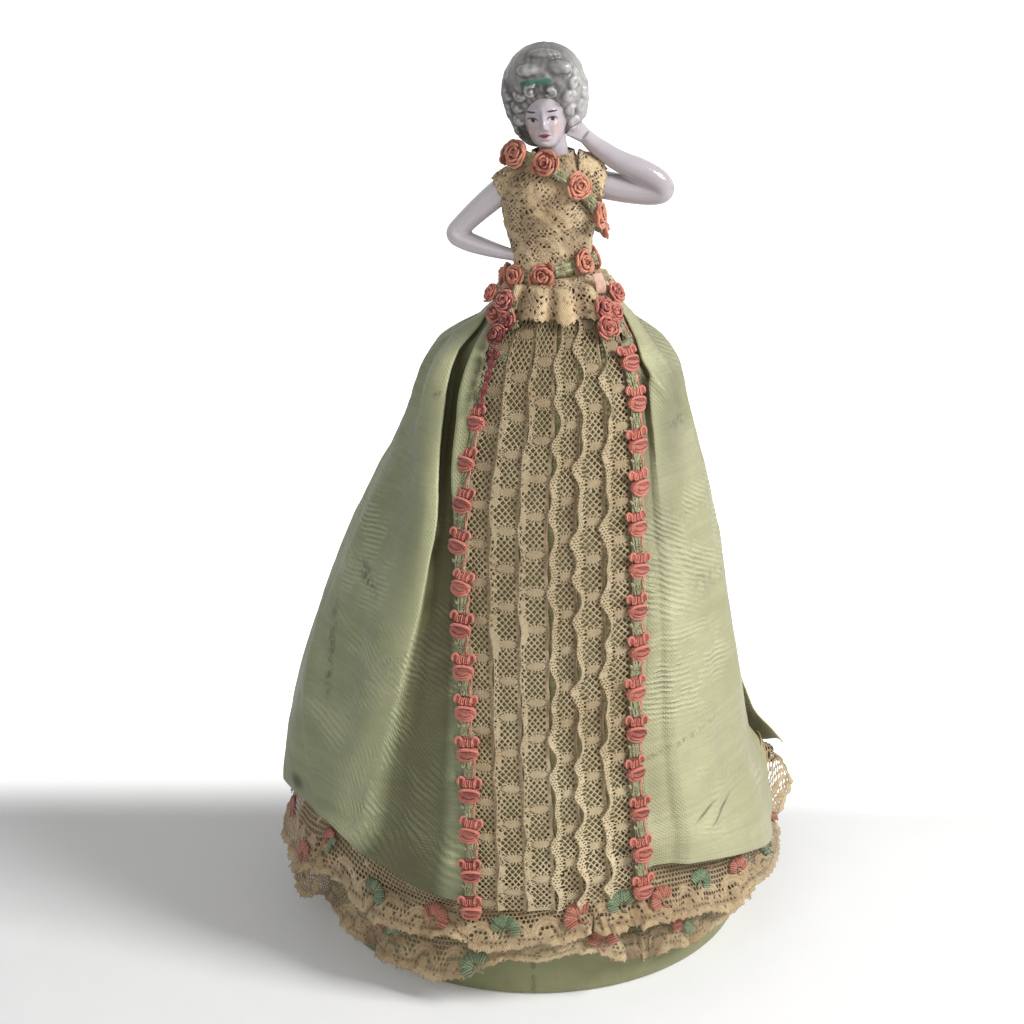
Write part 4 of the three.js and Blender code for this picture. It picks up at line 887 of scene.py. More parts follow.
# Columns: place, height of the roll of cloth between the left fold and the braid
LEFT_ROLL = [(0.04, 0), (0.09, 3.2), (0.15, 4.8), (0.22, 4.4), (0.28, 3.2), (0.34, 1.2), (0.39, 0)]
HEM_STAND = 2.8
EDGE_STAND = [(0, 0.7), (0.8, 0.7), (0.9, HEM_STAND), (1, HEM_STAND)]
LEFT_SEAM, RIGHT_SEAM = -2.05, 1.9
LAST_LEVEL = 0.84
CLOTH = 0.55


def hang_place(level, angle):
    """The bell's place at a level of the overskirt, whose level 1 is its uneven hem."""
    below = np.clip((level - LAST_LEVEL) / (1 - LAST_LEVEL), 0, 1)
    return np.where(level <= LAST_LEVEL, level, lerp(LAST_LEVEL, place_of(hem_height(angle)), below))


def smooth_run(points, samples):
    """A centripetal spline through points (n, rows, 2), with so many samples for each span."""
    p = np.concatenate([[2 * points[0] - points[1]], points, [2 * points[-1] - points[-2]]])
    out = []
    for i in range(1, len(p) - 2):
        four = p[i - 1:i + 3]
        gaps = np.maximum(np.linalg.norm(np.diff(four, axis=0), axis=-1, keepdims=True), 1e-6) ** 0.5
        knots = np.concatenate([np.zeros_like(gaps[:1]), np.cumsum(gaps, axis=0)])
        last = i == len(p) - 3
        for share in np.linspace(0, 1, samples[i - 1] + 1)[: None if last else -1]:
            t = lerp(knots[1], knots[2], share)

            def between(a, b, low, high):
                return ((knots[high] - t) * a + (t - knots[low]) * b) / (knots[high] - knots[low])
            one, two, three = (between(four[k], four[k + 1], k, k + 1) for k in range(3))
            one, two = between(one, two, 0, 2), between(two, three, 1, 3)
            out.append(between(one, two, 1, 2))
    return np.array(out)


# Soft creases: angle and place at the top, angle and place at the bottom, height, half width
CREASES = [
    (-1.5, 0.5, -0.95, 0.86, 1.5, 3.5), (-1.2, 0.2, -1.35, 0.55, 0.8, 4.0),
    (-0.98, 0.5, -0.72, 0.95, -1.0, 5.0), (0.66, 0.02, 1.02, 0.17, 2.2, 1.7),
    (0.95, 0.02, 1.32, 0.2, 1.9, 2.0), (1.12, 0.4, 0.86, 0.9, 0.9, 3.0),
    (0.9, 0.12, 1.1, 0.34, 0.9, 2.6), (1.3, 0.1, 1.35, 0.45, -0.8, 3.5),
]


def cloth_wrinkles(angle, place, distance, seed):
    """Gathers at the waist, soft hanging folds, fine creases and puckers beside the braid."""
    half = bell_half_width(place)
    girth = angle * half
    drop = place * SKIRT_HEIGHT
    gathers = np.abs(np.sin(angle * 8 + 2 * noise(angle * 6, drop, 40, seed)))
    gathers = (0.6 - gathers) * 1.5 * (1 - smooth(place, 0.05, 0.3)) * smooth(place, -0.02, 0.05)
    hanging = 0.9 * noise(girth, drop * 0.2, 24, seed + 1) * smooth(place, 0.1, 0.4)
    pulls = 0.3 * noise(girth + 0.5 * drop, drop - 0.5 * girth, 15, seed + 2) * smooth(place, 0.2, 0.5)
    fine = 0.08 * noise(girth, drop, 4.5, seed + 3)
    upper = smooth(place, 0.03, 0.1) * (1 - smooth(place, 0.25, 0.5))
    fine = fine + 0.4 * noise(girth, drop * 0.6, 8, seed + 5) * upper
    puckers = 0.4 * np.sin(TURN * drop / 4.4 + 3 * noise(drop, girth * 0, 30, seed + 4))
    puckers = puckers * np.exp(-distance / 3.0) * smooth(place, 0.3, 0.6)
    out = gathers + hanging + pulls + fine + puckers
    for high_angle, high, low_angle, low, height, width in CREASES:
        share = (place - high) / (low - high)
        middle = lerp(high_angle, low_angle, share)
        window = smooth(share, -0.1, 0.15) * (1 - smooth(share, 0.85, 1.15))
        out = out + height * window * np.exp(-((angle - middle) * half / width) ** 2)
    return out


def side_width(side):
    """The left (-1) or right (1) width: from the panel over its fold and round to its seam."""
    fold, seam = (LEFT_FOLD, LEFT_SEAM) if side < 0 else (RIGHT_FOLD, RIGHT_SEAM)
    level = np.concatenate([np.linspace(0, 0.3, 90, endpoint=False), np.linspace(0.3, 1, 150)])
    valley, depth, turn, sharp, stand = (along(fold, level, column) for column in range(1, 6))
    edge = along(EDGE_STAND, level) + waist_ease(level)
    half = bell_half_width(level)
    start = angle_at_x(along(PANEL, level, 1 if side < 0 else 2), level) * half * side + 0.6
    crest = edge + depth * lerp(1, 1.12, sharp)
    roll = along(LEFT_ROLL, level) if side < 0 else 0 * level
    rolled = np.clip(roll / 3, 0, 1)
    shape = [
        (0 * valley, edge + 0.4),
        (0.1 * valley, edge + 0.6 + 0.75 * roll),
        (lerp(0.2, 0.36, rolled) * valley, edge + 1 + roll),
        (lerp(lerp(0.3, 0.4, sharp), 0.6, rolled) * valley, edge + 1),
        (lerp(0.55 * valley, 0.75 * valley, sharp), edge + 1 + (1 - sharp) * 0.12 * depth),
        (lerp(0.72 * valley, valley + 0.9 * turn, sharp), edge + lerp(0.4, 0.15, sharp) * depth),
        (lerp(0.84 * valley, valley + turn, sharp), edge + lerp(0.72, 0.5, sharp) * depth),
        (lerp(0.93 * valley, valley + 0.1 * turn, sharp), edge + lerp(0.9, 0.78, sharp) * depth),
        (lerp(valley, valley - 0.6, sharp), edge + lerp(1, 0.95, sharp) * depth),
        (valley + 3, crest),
        (valley + 9, lerp(crest, stand, 0.2)),
    ]
    far = start + shape[-1][0]
    end = seam * side * half
    for k in range(1, 6):
        ripple = (1 if k % 2 == 0 else -1) * 0.9 * smooth(level, 0, 0.1) * (k < 5)
        shape.append((lerp(far, end, k / 5) - start, np.maximum(stand + ripple, 1.1)))
    points = np.array([np.stack([start + d, out], -1) for d, out in shape])
    run = smooth_run(points, [5] * 10 + [16] * 5)
    distance = np.maximum(run[..., 0] - start, 0).T
    angle = (run[..., 0] / half).T * side
    out = run[..., 1].T
    place = hang_place(level[:, None], angle)
    free = smooth(distance, 1.0, 6.0) * smooth(np.abs(seam - angle) * half[:, None], 0, 8)
    calm = np.where(distance < 4, 0.3, 1.0)
    out = out + cloth_wrinkles(angle, place, distance, 71 if side < 0 else 171) * free * calm
    grid = bell(angle, place, np.maximum(out, 0.7))
    column = np.arange(len(run))[None]
    sharp, steep, rolled = sharp[:, None], smooth(level, 0.03, 0.12)[:, None], rolled[:, None]
    crest_line, roll_line = np.exp(-((column - 42) / 4.5) ** 2), np.exp(-((column - 9) / 4) ** 2)
    # rim is painted highlight on the fold's crest and on the roll beside the braid.
    rim = crest_line * sharp * steep + 0.6 * roll_line * rolled
    across = distance / valley[:, None]
    low = lerp(0.12, 0.5, rolled)
    raised = (run[..., 1].T - edge[:, None]) / depth[:, None]
    # Painted shade: hollow darkens the valley below the fold's crest; the cloth right beside the braid is
    # darkened too.
    hollow = smooth(across, low, low + 0.16) * (1 - smooth(raised, 0.55, 0.95)) * (column < 44)
    fade = 1.0 if side < 0 else 0.6 * (1 - 0.8 * smooth(level, 0.18, 0.4))[:, None]
    valley_shade = hollow * steep * lerp(0.85, 1.0, sharp) * fade
    valley_shade = np.maximum(valley_shade, (0.6 if side < 0 else 0.4) * steep * (1 - smooth(distance, 0.4, 2.6)))
    # ridge adds painted highlight along the soft ridge past the fold.
    ridge = np.exp(-((distance - valley[:, None] - 4) / 7) ** 2) * smooth(level, 0.36, 0.55)[:, None]
    rim = np.clip(rim + (0.55 if side < 0 else 0.2) * ridge, 0, 1)
    if side < 0:
        grid, rim, valley_shade = grid[:, ::-1], rim[:, ::-1], valley_shade[:, ::-1]
    name, finish = ("left", BROCADE_LEFT) if side < 0 else ("right", BROCADE_RIGHT)
    cloth_piece(f"overskirt_{name}_cloth", grid, CLOTH, finish, "brocade",
                (f"overskirt_{name}",), values={"rim": rim, "valley_shade": valley_shade})


def corner_swing(angle, level):
    """How far the back width's lower corner on the right stands out."""
    near = 1 - smooth(angle, RIGHT_SEAM + 0.1, RIGHT_SEAM + 0.6)
    return 8 * smooth(level, 0.62, 0.96) * near


def back_width():
    level = np.concatenate([np.linspace(0, 0.3, 80, endpoint=False), np.linspace(0.3, 1, 130)])[:, None]
    gap = 0.9 / bell_half_width(level)
    share = np.linspace(0, 1, 240)[None]
    angle = lerp(RIGHT_SEAM + gap, TURN + LEFT_SEAM - gap, share)
    angle = angle - 0.018 * corner_swing(angle, level)
    turned = np.where(angle > PI, angle - TURN, angle)
    stand = lerp(along(RIGHT_FOLD, level, 5), along(LEFT_FOLD, level, 5), smooth(share, 0, 0.3))
    edge = smooth(share, 0, 0.12) * (1 - smooth(share, 0.88, 1))
    pleats = np.cos(share * 5 * TURN + 1.2 * noise(share * 40, level * 30, 16, 91))
    place = hang_place(level, turned)
    wrinkles = cloth_wrinkles(angle, place, 99 + 0 * angle, 95)
    out = stand + edge * (pleats * 1.3 * smooth(level, 0, 0.12) + wrinkles) + corner_swing(angle, level)
    # The rim value paints light onto the inside of the swung corner, which faces away from the lamp.
    cloth_piece("overskirt_back_cloth", bell(angle, place, np.maximum(out, 0.8)), CLOTH, BROCADE_BACK,
                "brocade", ("overskirt_back",),
                values={"rim": 0.1 * corner_swing(angle, level)})


side_width(-1)
side_width(1)
back_width()

# Hem lace in two gathered tiers. Columns: angle round the bell, height of the lower edge.
UPPER_LOW = [
    (-3.14, 26), (-2.2, 25), (-1.5, 25), (-1.15, 25.6), (-0.9, 34), (-0.76, 28.3), (-0.58, 26.3),
    (-0.43, 26.6), (-0.3, 27.8), (-0.19, 24.6), (0, 26), (0.19, 28.6), (0.35, 30.1), (0.53, 27.9),
    (0.73, 25.5), (0.92, 21), (1.04, 24.8), (1.15, 23), (1.6, 25), (1.7, 28), (1.8, 38), (1.95, 31),
    (2.15, 25), (2.6, 25), (3.14, 26),
]
LOWER_LOW = [
    (-3.14, 13), (-2.4, 11), (-1.8, 14), (-1.2, 13.2), (-0.99, 20.1), (-0.84, 17.6), (-0.73, 12.6),
    (-0.62, 10.1), (-0.5, 9), (-0.35, 8.5), (-0.23, 12.1), (-0.11, 19.8), (0.04, 18.9), (0.24, 21.3),
    (0.36, 16.4), (0.47, 12.7), (0.64, 13.7), (0.75, 11.9), (0.86, 14.5), (1.02, 16.8), (1.5, 13),
    (2.2, 14), (3.14, 13),
]
# Hem lace: its finest step, the width of an arch, and the length and depth of a tier laid flat
FINE = 0.8
ARCH = 15 * FINE
FLOUNCE = 50 * ARCH
FLOUNCE_DEPTH = 31 * FINE
FRILL_RADIUS = 88  # turns a sideways swing into an angle


def fine_net(u, v, hole):
    """Over 0 on the threads between staggered round holes, each on every other step of cloth."""
    row = np.round(v / (2 * FINE))
    du = np.abs((u - FINE * (row % 2) + FINE) % (2 * FINE) - FINE)
    dv = np.abs(v - 2 * FINE * row)
    return 0.5 * (np.minimum(np.hypot(du, dv), np.hypot(FINE - du, 2 * FINE - dv)) - hole)


def flounce_places(u, v):
    """Where a spot of the hem lace lies: up from its scalloped edge and out from its arch's middle."""
    edge = FLOUNCE_DEPTH - 0.9 * np.abs(np.sin(PI * u / (ARCH / 3)))
    swing = 1.2 * noise(u, v * 0, 30, 233)
    return edge - v, np.hypot((u + swing) % ARCH - ARCH / 2, v - (FLOUNCE_DEPTH - 5.0))


def flounce(u, v):
    """Hem lace: net above, half rings of cord, and pin-holed cloth over an edge of small bumps."""
    up, away = flounce_places(u, v)
    net = fine_net(u, v, 0.62)
    closed = fine_net(u, v, 0.34)
    low = up < 4.6 + 0.9 * noise(u, v * 0, 7, 234)
    cloth = np.where(low, closed, net)
    ring = (np.abs(away - 4.2) < 0.45) | (np.abs(away - 5.6) < 0.35)
    worked = (away < 1.7) | (ring & (up > 4.2)) | ((up < 2.1) & (up > 1.3)) | (up < 0.6) | (v < 1.3)
    trail = np.abs(v - 9.0 + 1.7 * np.cos(TURN * u / ARCH)) < 0.5
    worked = worked | (trail & (noise(u, v, 6.5, 231) > 0.3))
    return np.minimum(np.where(worked, 0.25, cloth), up)


def flounce_shade(u, v):
    """The browner cloth near the hem lace's edge."""
    up, away = flounce_places(u, v)
    ground = (up < 4.4) & (up > 2.2) & (away > 1.8)
    return np.where(ground, 0.32, 0.0) + 0.2 * (away < 1.5)


def upper_tier(u, v):
    """The upper tier on the bell: its gathers lie flat under the overskirt's hem and fall from there."""
    angle = u / FLOUNCE * TURN - PI
    share = v / FLOUNCE_DEPTH
    hem, low = hem_height(angle), along(UPPER_LOW, angle)
    hang = smooth(share, 0.12, 1) * share
    height = lerp(hem + 4.5, hem - 0.5, np.clip(share / 0.16, 0, 1))
    height = np.where(share > 0.16, lerp(hem - 0.5, low, (share - 0.16) / 0.84), height)
    fold, swing = crush(u, v, hang, 201, 2.6)
    lift = smooth(angle, 1.62, 1.76) * (1 - smooth(angle, 2.2, 2.7)) * lerp(8.2, 6.4, hang)
    wide = 4.0 * smooth(angle, 0.75, 1.2) * (1 - smooth(angle, 2.3, 2.8)) * smooth(share, 0, 0.3)
    stand = 1.2 + 7.0 * hang + lift + wide + fold
    height = height + 1.4 * hang * noise(u, v * 0.3, 17, 209)
    return bell(angle + swing / FRILL_RADIUS, place_of(height), np.maximum(stand, 1.15))


def lower_tier(u, v):
    """The lower tier on the bell, over the top of the base."""
    angle = u / FLOUNCE * TURN - PI
    share = v / FLOUNCE_DEPTH
    low = along(LOWER_LOW, angle)
    hang = np.maximum(share, 0) ** 1.2
    height = lerp(36, low, share) + 1.2 * hang * noise(u, v * 0.3, 16, 219)
    fold, swing = crush(u, v, hang, 211, 2.4)
    stand = 0.5 + 6.4 * hang + fold
    return bell(angle + swing / FRILL_RADIUS, place_of(height), np.maximum(stand, 0.45))


def crush(u, v, share, seed, depth):
    """The crushed folds of a frill: how far it stands out and how far it swings sideways."""
    lean = u + 1.1 * v * noise(u, v * 0, 40, seed + 3)
    broad = noise(lean, v * 0.4, 13, seed)
    sharp = 1 - 2 * np.abs(noise(lean + 40, v * 0.7, 9, seed + 1))
    out = depth * share * (1.1 * broad + 0.3 * sharp) + 0.25 * share * noise(u, v, 5, seed + 2)
    return out, 2.6 * share * noise(lean + 90, v * 0.6, 10, seed + 4)


def pattern_and_fold_shade(seed, depth):
    """How brown each spot of a frill is: its pattern, with painted shade down between the folds."""
    def tone_and_fold_shade(u, v):
        share = np.clip(v / FLOUNCE_DEPTH, 0, 1)
        out = crush(u, v, share, seed, depth)[0]
        return np.maximum(0.7 * smooth(-out, -0.3, 2.4) * smooth(share, 0.1, 0.5), flounce_shade(u, v))
    return tone_and_fold_shade


lace("hem_lace_upper_flounce", HEM_COTTON, FLOUNCE, FLOUNCE_DEPTH, FINE, flounce, upper_tier,
     ("hem_lace_upper",), slot="hem_lace",
     tone_and_fold_shade=pattern_and_fold_shade(201, 2.7))
lace("hem_lace_lower_flounce", HEM_COTTON, FLOUNCE, FLOUNCE_DEPTH, FINE, flounce, lower_tier,
     ("hem_lace_lower",), slot="hem_lace",
     tone_and_fold_shade=pattern_and_fold_shade(211, 2.5))


# Small worked shapes, in their own right, up and out directions

def blob(centre, size, steps=14):
    """A rounded pad."""
    lat = np.linspace(-PI / 2, PI / 2, steps // 2 + 1)[1:-1, None]
    lon = np.linspace(0, TURN, steps, endpoint=False)[None]
    ball = np.stack([np.cos(lat) * np.cos(lon), np.cos(lat) * np.sin(lon), np.sin(lat) + 0 * lon], -1)
    points, faces = capped(ball, (0, 0, -1), (0, 0, 1))
    return points * size + centre, faces


def arc(centre, size, start, end, height, steps):
    """A path along part of an oval, from start to end in degrees."""
    turn = np.radians(np.linspace(start, end, steps))
    rise = np.broadcast_to(height, steps)
    return np.stack([centre[0] + size[0] * np.cos(turn), centre[1] + size[1] * np.sin(turn), rise], -1)


def petal_tube(path, radius):
    """A tube that is thin at both ends."""
    share = np.linspace(-1, 1, len(path))
    return tube(path, radius * (1 - 0.75 * share ** 4), 8, 1.0, (0, 0, 1))


def braid_rose():
    """One rose of the braid: a cup of ribbon, small upright gathers over it and a loop at each side."""
    rim = [(-3.4, -1.2, 1.0), (-2.0, -0.35, 2.0), (0, -0.15, 2.2), (2.1, -0.4, 2.0), (3.4, -1.3, 1.0)]
    inner_fold = [(-1.6, -0.8, 2.25), (0.6, -1.35, 2.4), (2.3, -1.3, 2.0), (3.2, -2.4, 1.0)]
    # Each part's tone paints light and shade: high for the lit rims, loops and highlight folds, low for the
    # creases and the pad under the gathers.
    parts = [
        (blob((0, -1.75, 0.3), (3.5, 2.6, 2.0), 22), 0.5),
        (petal_tube(catmull(rim, 5), 0.5), 0.95),
        (petal_tube(catmull(inner_fold, 5), 0.36), 0.2),
        (petal_tube(arc((0, -1.9), (3.3, 2.5), 190, 330, 0.8, 18), 0.45), 0.72),
        (petal_tube(arc((0.2, -1.5), (2.5, 1.5), 205, 325, 2.0, 12), 0.24), 0.15),
        (petal_tube(arc((-0.1, -2.1), (2.4, 1.4), 210, 320, 1.75, 12), 0.3), 0.85),
        (blob((0, 0.45, 0.8), (2.7, 0.6, 0.8), 12), -0.15),
        (blob((0, 1.9, 0.3), (2.7, 1.8, 0.7), 14), 0.2),
    ]
    for k, x in enumerate((-1.7, -0.95, -0.3, 0.4, 1.05, 1.75)):
        loop = arc((x, 1.6), (0.3, 1.3 - 0.12 * abs(k - 2.5)), 80, 330, 1.25 + 0.1 * (k % 2), 12)
        parts.append((petal_tube(loop, 0.25), 1.05 if k % 2 else 0.65))
    for side in (-1, 1):
        ear = arc((side * 2.65, 2.2), (1.0, 1.35), 90 - side * 150, 90 + side * 150, 1.0, 16)
        parts.append((petal_tube(ear, 0.46), 0.85))
        parts.append((blob((side * 2.6, 2.1, 0.5), (1.05, 1.4, 0.6), 12), 0.35))
    return parts


# Columns: reach, number of petals, rise and radius of each ring
PETAL_RINGS = [(3.9, 7, 0.7, 0.46), (3.0, 6, 1.2, 0.44), (2.1, 5, 1.65, 0.4), (1.25, 4, 2.0, 0.36)]


def rosette(seed):
    """A crumpled ribbon rose: uneven petals in rings round a tight middle."""
    rng = np.random.default_rng(seed)
    # The pad under the petals and the tight middle get a dark tone: painted shade between the petals.
    parts = [(blob((0, 0, 0.2), (4.1, 3.7, 1.3), 18), 0.2)]
    for reach, count, rise, radius in PETAL_RINGS:
        turned = rng.uniform(0, 360)
        for k in range(count):
            start = turned + 360 * k / count
            size = (reach * rng.uniform(0.82, 1.15), reach * rng.uniform(0.78, 1.08))
            heights = rise + 0.5 * np.sin(np.linspace(0, PI, 12)) * rng.uniform(0.1, 1.3)
            middle = rng.uniform(-0.45, 0.45, 2)
            end = start + rng.uniform(360, 520) / count
            petal = arc(middle, size, start, end, heights, 12)
            parts.append((petal_tube(petal, radius), rng.choice([1.0, 0.8, 0.6, 0.35])))
    parts.append((blob((0, 0, 1.9), (0.8, 0.7, 0.6), 10), 0.2))
    return parts


def tape_gauze(seed):
    """The gap between two roses: gathered gauze, drawn threads, a tuft at one side and a pink cord."""
    rng = np.random.default_rng(seed)
    gauze, cord = [], []
    for x in (-1.3, -0.65, 0, 0.65, 1.3):
        sway = rng.uniform(-0.3, 0.3, 4)
        path = [(x + sway[k], 3.2 - 2.1 * k, 0.35 + 0.35 * (k % 2)) for k in range(4)]
        gauze.append((tube(catmull(path, 4), 0.32, 6, 0.6, (0, 0, 1)), rng.uniform(0.45, 0.95)))
    for x, y, size in ((-2.15, 0.4, 0.62), (-2.5, 0.9, 0.42), (1.9, -0.3, 0.4)):
        gauze.append((blob((x, y, 0.45), (size, size * 1.1, size * 0.7), 8), 1.05))
    for y in (-1.0, 0.8):
        loop = arc((rng.uniform(-0.5, 0.5), y), (0.75, 0.5), 0, 330, 0.75, 12)
        gauze.append((tube(loop, 0.16, 5, 1.0, (0, 0, 1)), 0.9))
    path = catmull([(1.7, 3.4, 0.4), (2.1, 1.4, 0.75), (1.6, -0.4, 0.7), (2.0, -3.2, 0.4)], 5)
    cord.append((tube(path, 0.3, 6, 1.0, (0, 0, 1)), 0.95))
    return gauze, cord


class Trim:
    """Many small shapes gathered into one mesh, each at its own place and turn."""

    def __init__(self):
        self.points, self.faces, self.tone, self.uv, self.count = [], [], [], [], 0

    def extend(self, points, groups, uv, tone):
        self.points.append(points)
        self.faces += [group + self.count for group in groups]
        self.tone.append(tone)
        self.uv.append(uv)
        self.count += len(points)

    def add(self, parts, spot, size=1.0, turn=0.0, shade=0.0):
        centre, right, up, out = spot
        cos, sin = math.cos(turn), math.sin(turn)
        right, up = right * cos + up * sin, up * cos - right * sin
        for (points, groups), tone in parts:
            local = points * size
            world = centre + local[:, :1] * right + local[:, 1:2] * up + local[:, 2:] * out
            uv = np.stack([local[:, 0], local[:, 1] + local[:, 2]], -1) / 100
            self.extend(world, groups, uv, np.full(len(world), tone + shade))

    def build(self, name, finish, slot, replaces=()):
        return piece(name, np.concatenate(self.points), self.faces, finish, slot, replaces,
                     uv=np.concatenate(self.uv), values={"tone": np.concatenate(self.tone)})


def frame_on(surface, u, v, du, dv):
    """Centre, right, up and out of a surface at one spot; v grows downwards."""
    at = [np.asarray(surface(np.array([a]), np.array([b])))[0]
          for a, b in ((u, v), (u + du, v), (u - du, v), (u, v + dv), (u, v - dv))]
    right = at[1] - at[2]
    down = at[3] - at[4]
    right /= np.linalg.norm(right)
    out = np.cross(down, right) * -1
    out /= np.linalg.norm(out)
    out = -out if out @ np.cross(right, -down) < 0 else out
    return at[0], right, np.cross(out, right), out


# Embroidered flowers on the hem lace: satin petals in coral and green

def satin_flower(seed):
    """An embroidered flower: a few rounded lobes, each of short stitches side by side."""
    rng = np.random.default_rng(seed)
    parts = []
    for lobe in range(4):
        lean = (lobe - 1.5) * 0.85 + rng.uniform(-0.15, 0.15)
        middle = np.array([math.sin(lean) * 2.1, math.cos(lean) * 1.7 - 1.0])
        along_stitch = np.array([math.sin(lean), math.cos(lean)])
        beside = np.array([along_stitch[1], -along_stitch[0]])
        for k in range(5):
            offset = (k - 2) * 0.5
            half = 1.35 * math.sqrt(1 - (offset / 1.5) ** 2) * rng.uniform(0.8, 1.15)
            ends = [middle + beside * offset + along_stitch * half * s for s in (-1, 0, 1)]
            path = catmull([(x, y, 0.25 + 0.18 * (i == 1)) for i, (x, y) in enumerate(ends)], 3)
            parts.append((tube(path, 0.24, 5, 0.8, (0, 0, 1)), rng.uniform(0.2, 1.0)))
    stem = catmull([(0, -0.8, 0.25), (-0.5, -2.0, 0.25), (0.3, -3.2, 0.2)], 4)
    parts.append((tube(stem, 0.2, 5, 0.8, (0, 0, 1)), 0.4))
    return parts


# Embroidered flowers: angle, share of the flounce's depth, and kind: p pink, g green, m both
UPPER_FLOWERS = [
    (-1.42, 0.55, "p"), (-1.12, 0.75, "p"), (-0.93, 0.5, "m"), (-0.66, 0.62, "g"), (-0.36, 0.62, "p"),
    (-0.08, 0.6, "g"), (0.18, 0.6, "p"), (0.37, 0.55, "g"), (0.55, 0.62, "p"), (0.8, 0.5, "g"),
    (1.02, 0.5, "p"), (1.3, 0.6, "g"),
]
LOWER_FLOWERS = [
    (-1.28, 0.6, "m"), (-0.62, 0.5, "m"), (-0.22, 0.75, "g"), (0.28, 0.62, "p"), (0.66, 0.55, "m"),
    (0.94, 0.6, "m"),
]


def hem_flowers():
    """The listed flowers, and more at even steps round the sides and back."""
    pink, green = Trim(), Trim()
    rng = np.random.default_rng(301)
    upper = UPPER_FLOWERS + [(a, 0.6, "pgm"[k % 3]) for k, a in enumerate(np.arange(1.6, TURN - 1.6, 0.27))]
    lower = LOWER_FLOWERS + [(a, 0.6, "mpg"[k % 3]) for k, a in enumerate(np.arange(1.3, TURN - 1.5, 0.41))]
    for surface, flowers in ((upper_tier, upper), (lower_tier, lower)):
        for k, (angle, level, kind) in enumerate(flowers):
            u = ((angle + PI) % TURN) / TURN * FLOUNCE
            centre, right, up, out = frame_on(surface, u, FLOUNCE_DEPTH * level, 1.6, 1.6)
            centre = centre + out * 0.35
            turn, size = rng.uniform(-0.6, 0.6), rng.uniform(1.55, 1.85)
            if kind in "pm":
                pink_size = size * (0.8 if kind == "m" else 1)
                pink.add(satin_flower(310 + k), (centre, right, up, out), pink_size, turn)
            if kind == "m":
                centre = centre + (3.4 * right - 1.6 * up + 0.2 * out)
                size, turn = size * 0.62, turn + 0.6
            if kind in "gm":
                green.add(satin_flower(340 + k), (centre, right, up, out), size, turn)
    pink.build("embroidery_pink", PINK_FLOSS, "thread")
    green.build("embroidery_green", GREEN_FLOSS, "thread")


hem_flowers()


# Braid of ribbon roses

ROSE_PITCH = 14.2
PANEL_RUN = 214  # length of a panel braid's line over the whole bell


def braid_stand(place):
    """How far the panel braids stand off the bell: farther near the waist and over the hem."""
    return 2.45 + (HEM_STAND - 0.7) * smooth(place, 0.78, 0.89) + waist_ease(place) * 1.6


def walk(run, pitch, first):
    """Places along a run of points: index plus share, every pitch from the first on."""
    distance = distances(run)
    stops = np.arange(first, distance[-1], pitch)
    return np.interp(stops, distance, np.arange(len(run)))


def gauze_tape(surface, along_run, half_width):
    """A strip of gauze on surface(across, place), puckered at every gather."""
    across = np.linspace(-half_width, half_width, 9)[None]
    grid = surface(across + 0 * along_run[:, None], along_run[:, None] + 0 * across)
    return thick_grid(grid, 0.3)


def panel_braid(side, top, bottom, name):
    """A braid down one edge of the front panel, from place top to bottom."""
    roses, gauze = Trim(), Trim()
    rng = np.random.default_rng(401 + side)

    def surface(across, place):
        middle = angle_at_x(along(PANEL, place, 1 if side < 0 else 2), place)
        wave = 0.35 * np.sin(place * 47 + side)
        angle = middle + (across + wave) / bell_half_width(place)
        pucker = 0.16 * np.sin(place * 160) + 0.1 * noise(across * 2, place * 200, 2.2, 411)
        return bell(angle, place, braid_stand(place) + pucker)

    places = np.linspace(top, bottom, 200)
    run = surface(0 * places, places)
    points, faces, uv = gauze_tape(surface, places, 2.0)
    gauze.extend(points, [faces], uv, 0.55 + 0.3 * noise(uv[:, 0] * 100, uv[:, 1] * 100, 1.6, 412))
    stops = np.interp(walk(run, ROSE_PITCH, 7), np.arange(len(places)), places)
    for place in stops:
        here = frame_on(surface, rng.uniform(-0.3, 0.3), place, 0.5, 0.004)
        size, turn = rng.uniform(1.04, 1.12), rng.uniform(-0.14, 0.14)
        roses.add(braid_rose(), here, size, turn, rng.uniform(-0.14, 0.14))
    half_pitch = ROSE_PITCH / 2 / PANEL_RUN
    between = np.append(stops + half_pitch, stops[0] - half_pitch)
    for k, place in enumerate(between[between < bottom + 0.01]):
        here = frame_on(surface, 0.0, place, 0.5, 0.004)
        tufts, cord = tape_gauze(421 + k)
        gauze.add(tufts, here, 1.0, rng.uniform(-0.1, 0.1), rng.uniform(-0.15, 0.15))
        roses.add(cord, here)
    roses.build(f"panel_roses_{name}", ROSE, "rose_braid", (f"panel_braid_{name}",))
    gauze.build(f"panel_gauze_{name}", LEAF, "rose_braid")


panel_braid(-1, 0.15, 0.96, "left")
panel_braid(1, 0.075, 0.935, "right")

# Columns: rise over the flange's rim, half width, half depth, sway sideways, lean forward
TRUNK = [
    (0, 17.5, 13.5, 0, 0), (1.6, 17.5, 13.5, 0, 0), (7, 14.95, 11.35, -0.3, 0), (13, 13.2, 9.9, -1.2, 0),
    (20, 12.4, 9.2, -1.9, 0), (27, 13.1, 9.8, -2.5, 0.3), (34, 14.4, 11, -2.9, 0.9),
    (41, 15.2, 12, -3.1, 1.3), (47, 14.9, 10.8, -2.9, 0.8), (51, 13.6, 8.6, -2.5, 0.2),
    (54, 9.6, 6.8, -2.1, 0), (57, 5.8, 5.4, -1.7, 0.2), (61, 4.7, 4.8, -1.9, 0.8), (66, 4.7, 4.8, -2.9, 1.2),
]
FIGURE_X = 7.5


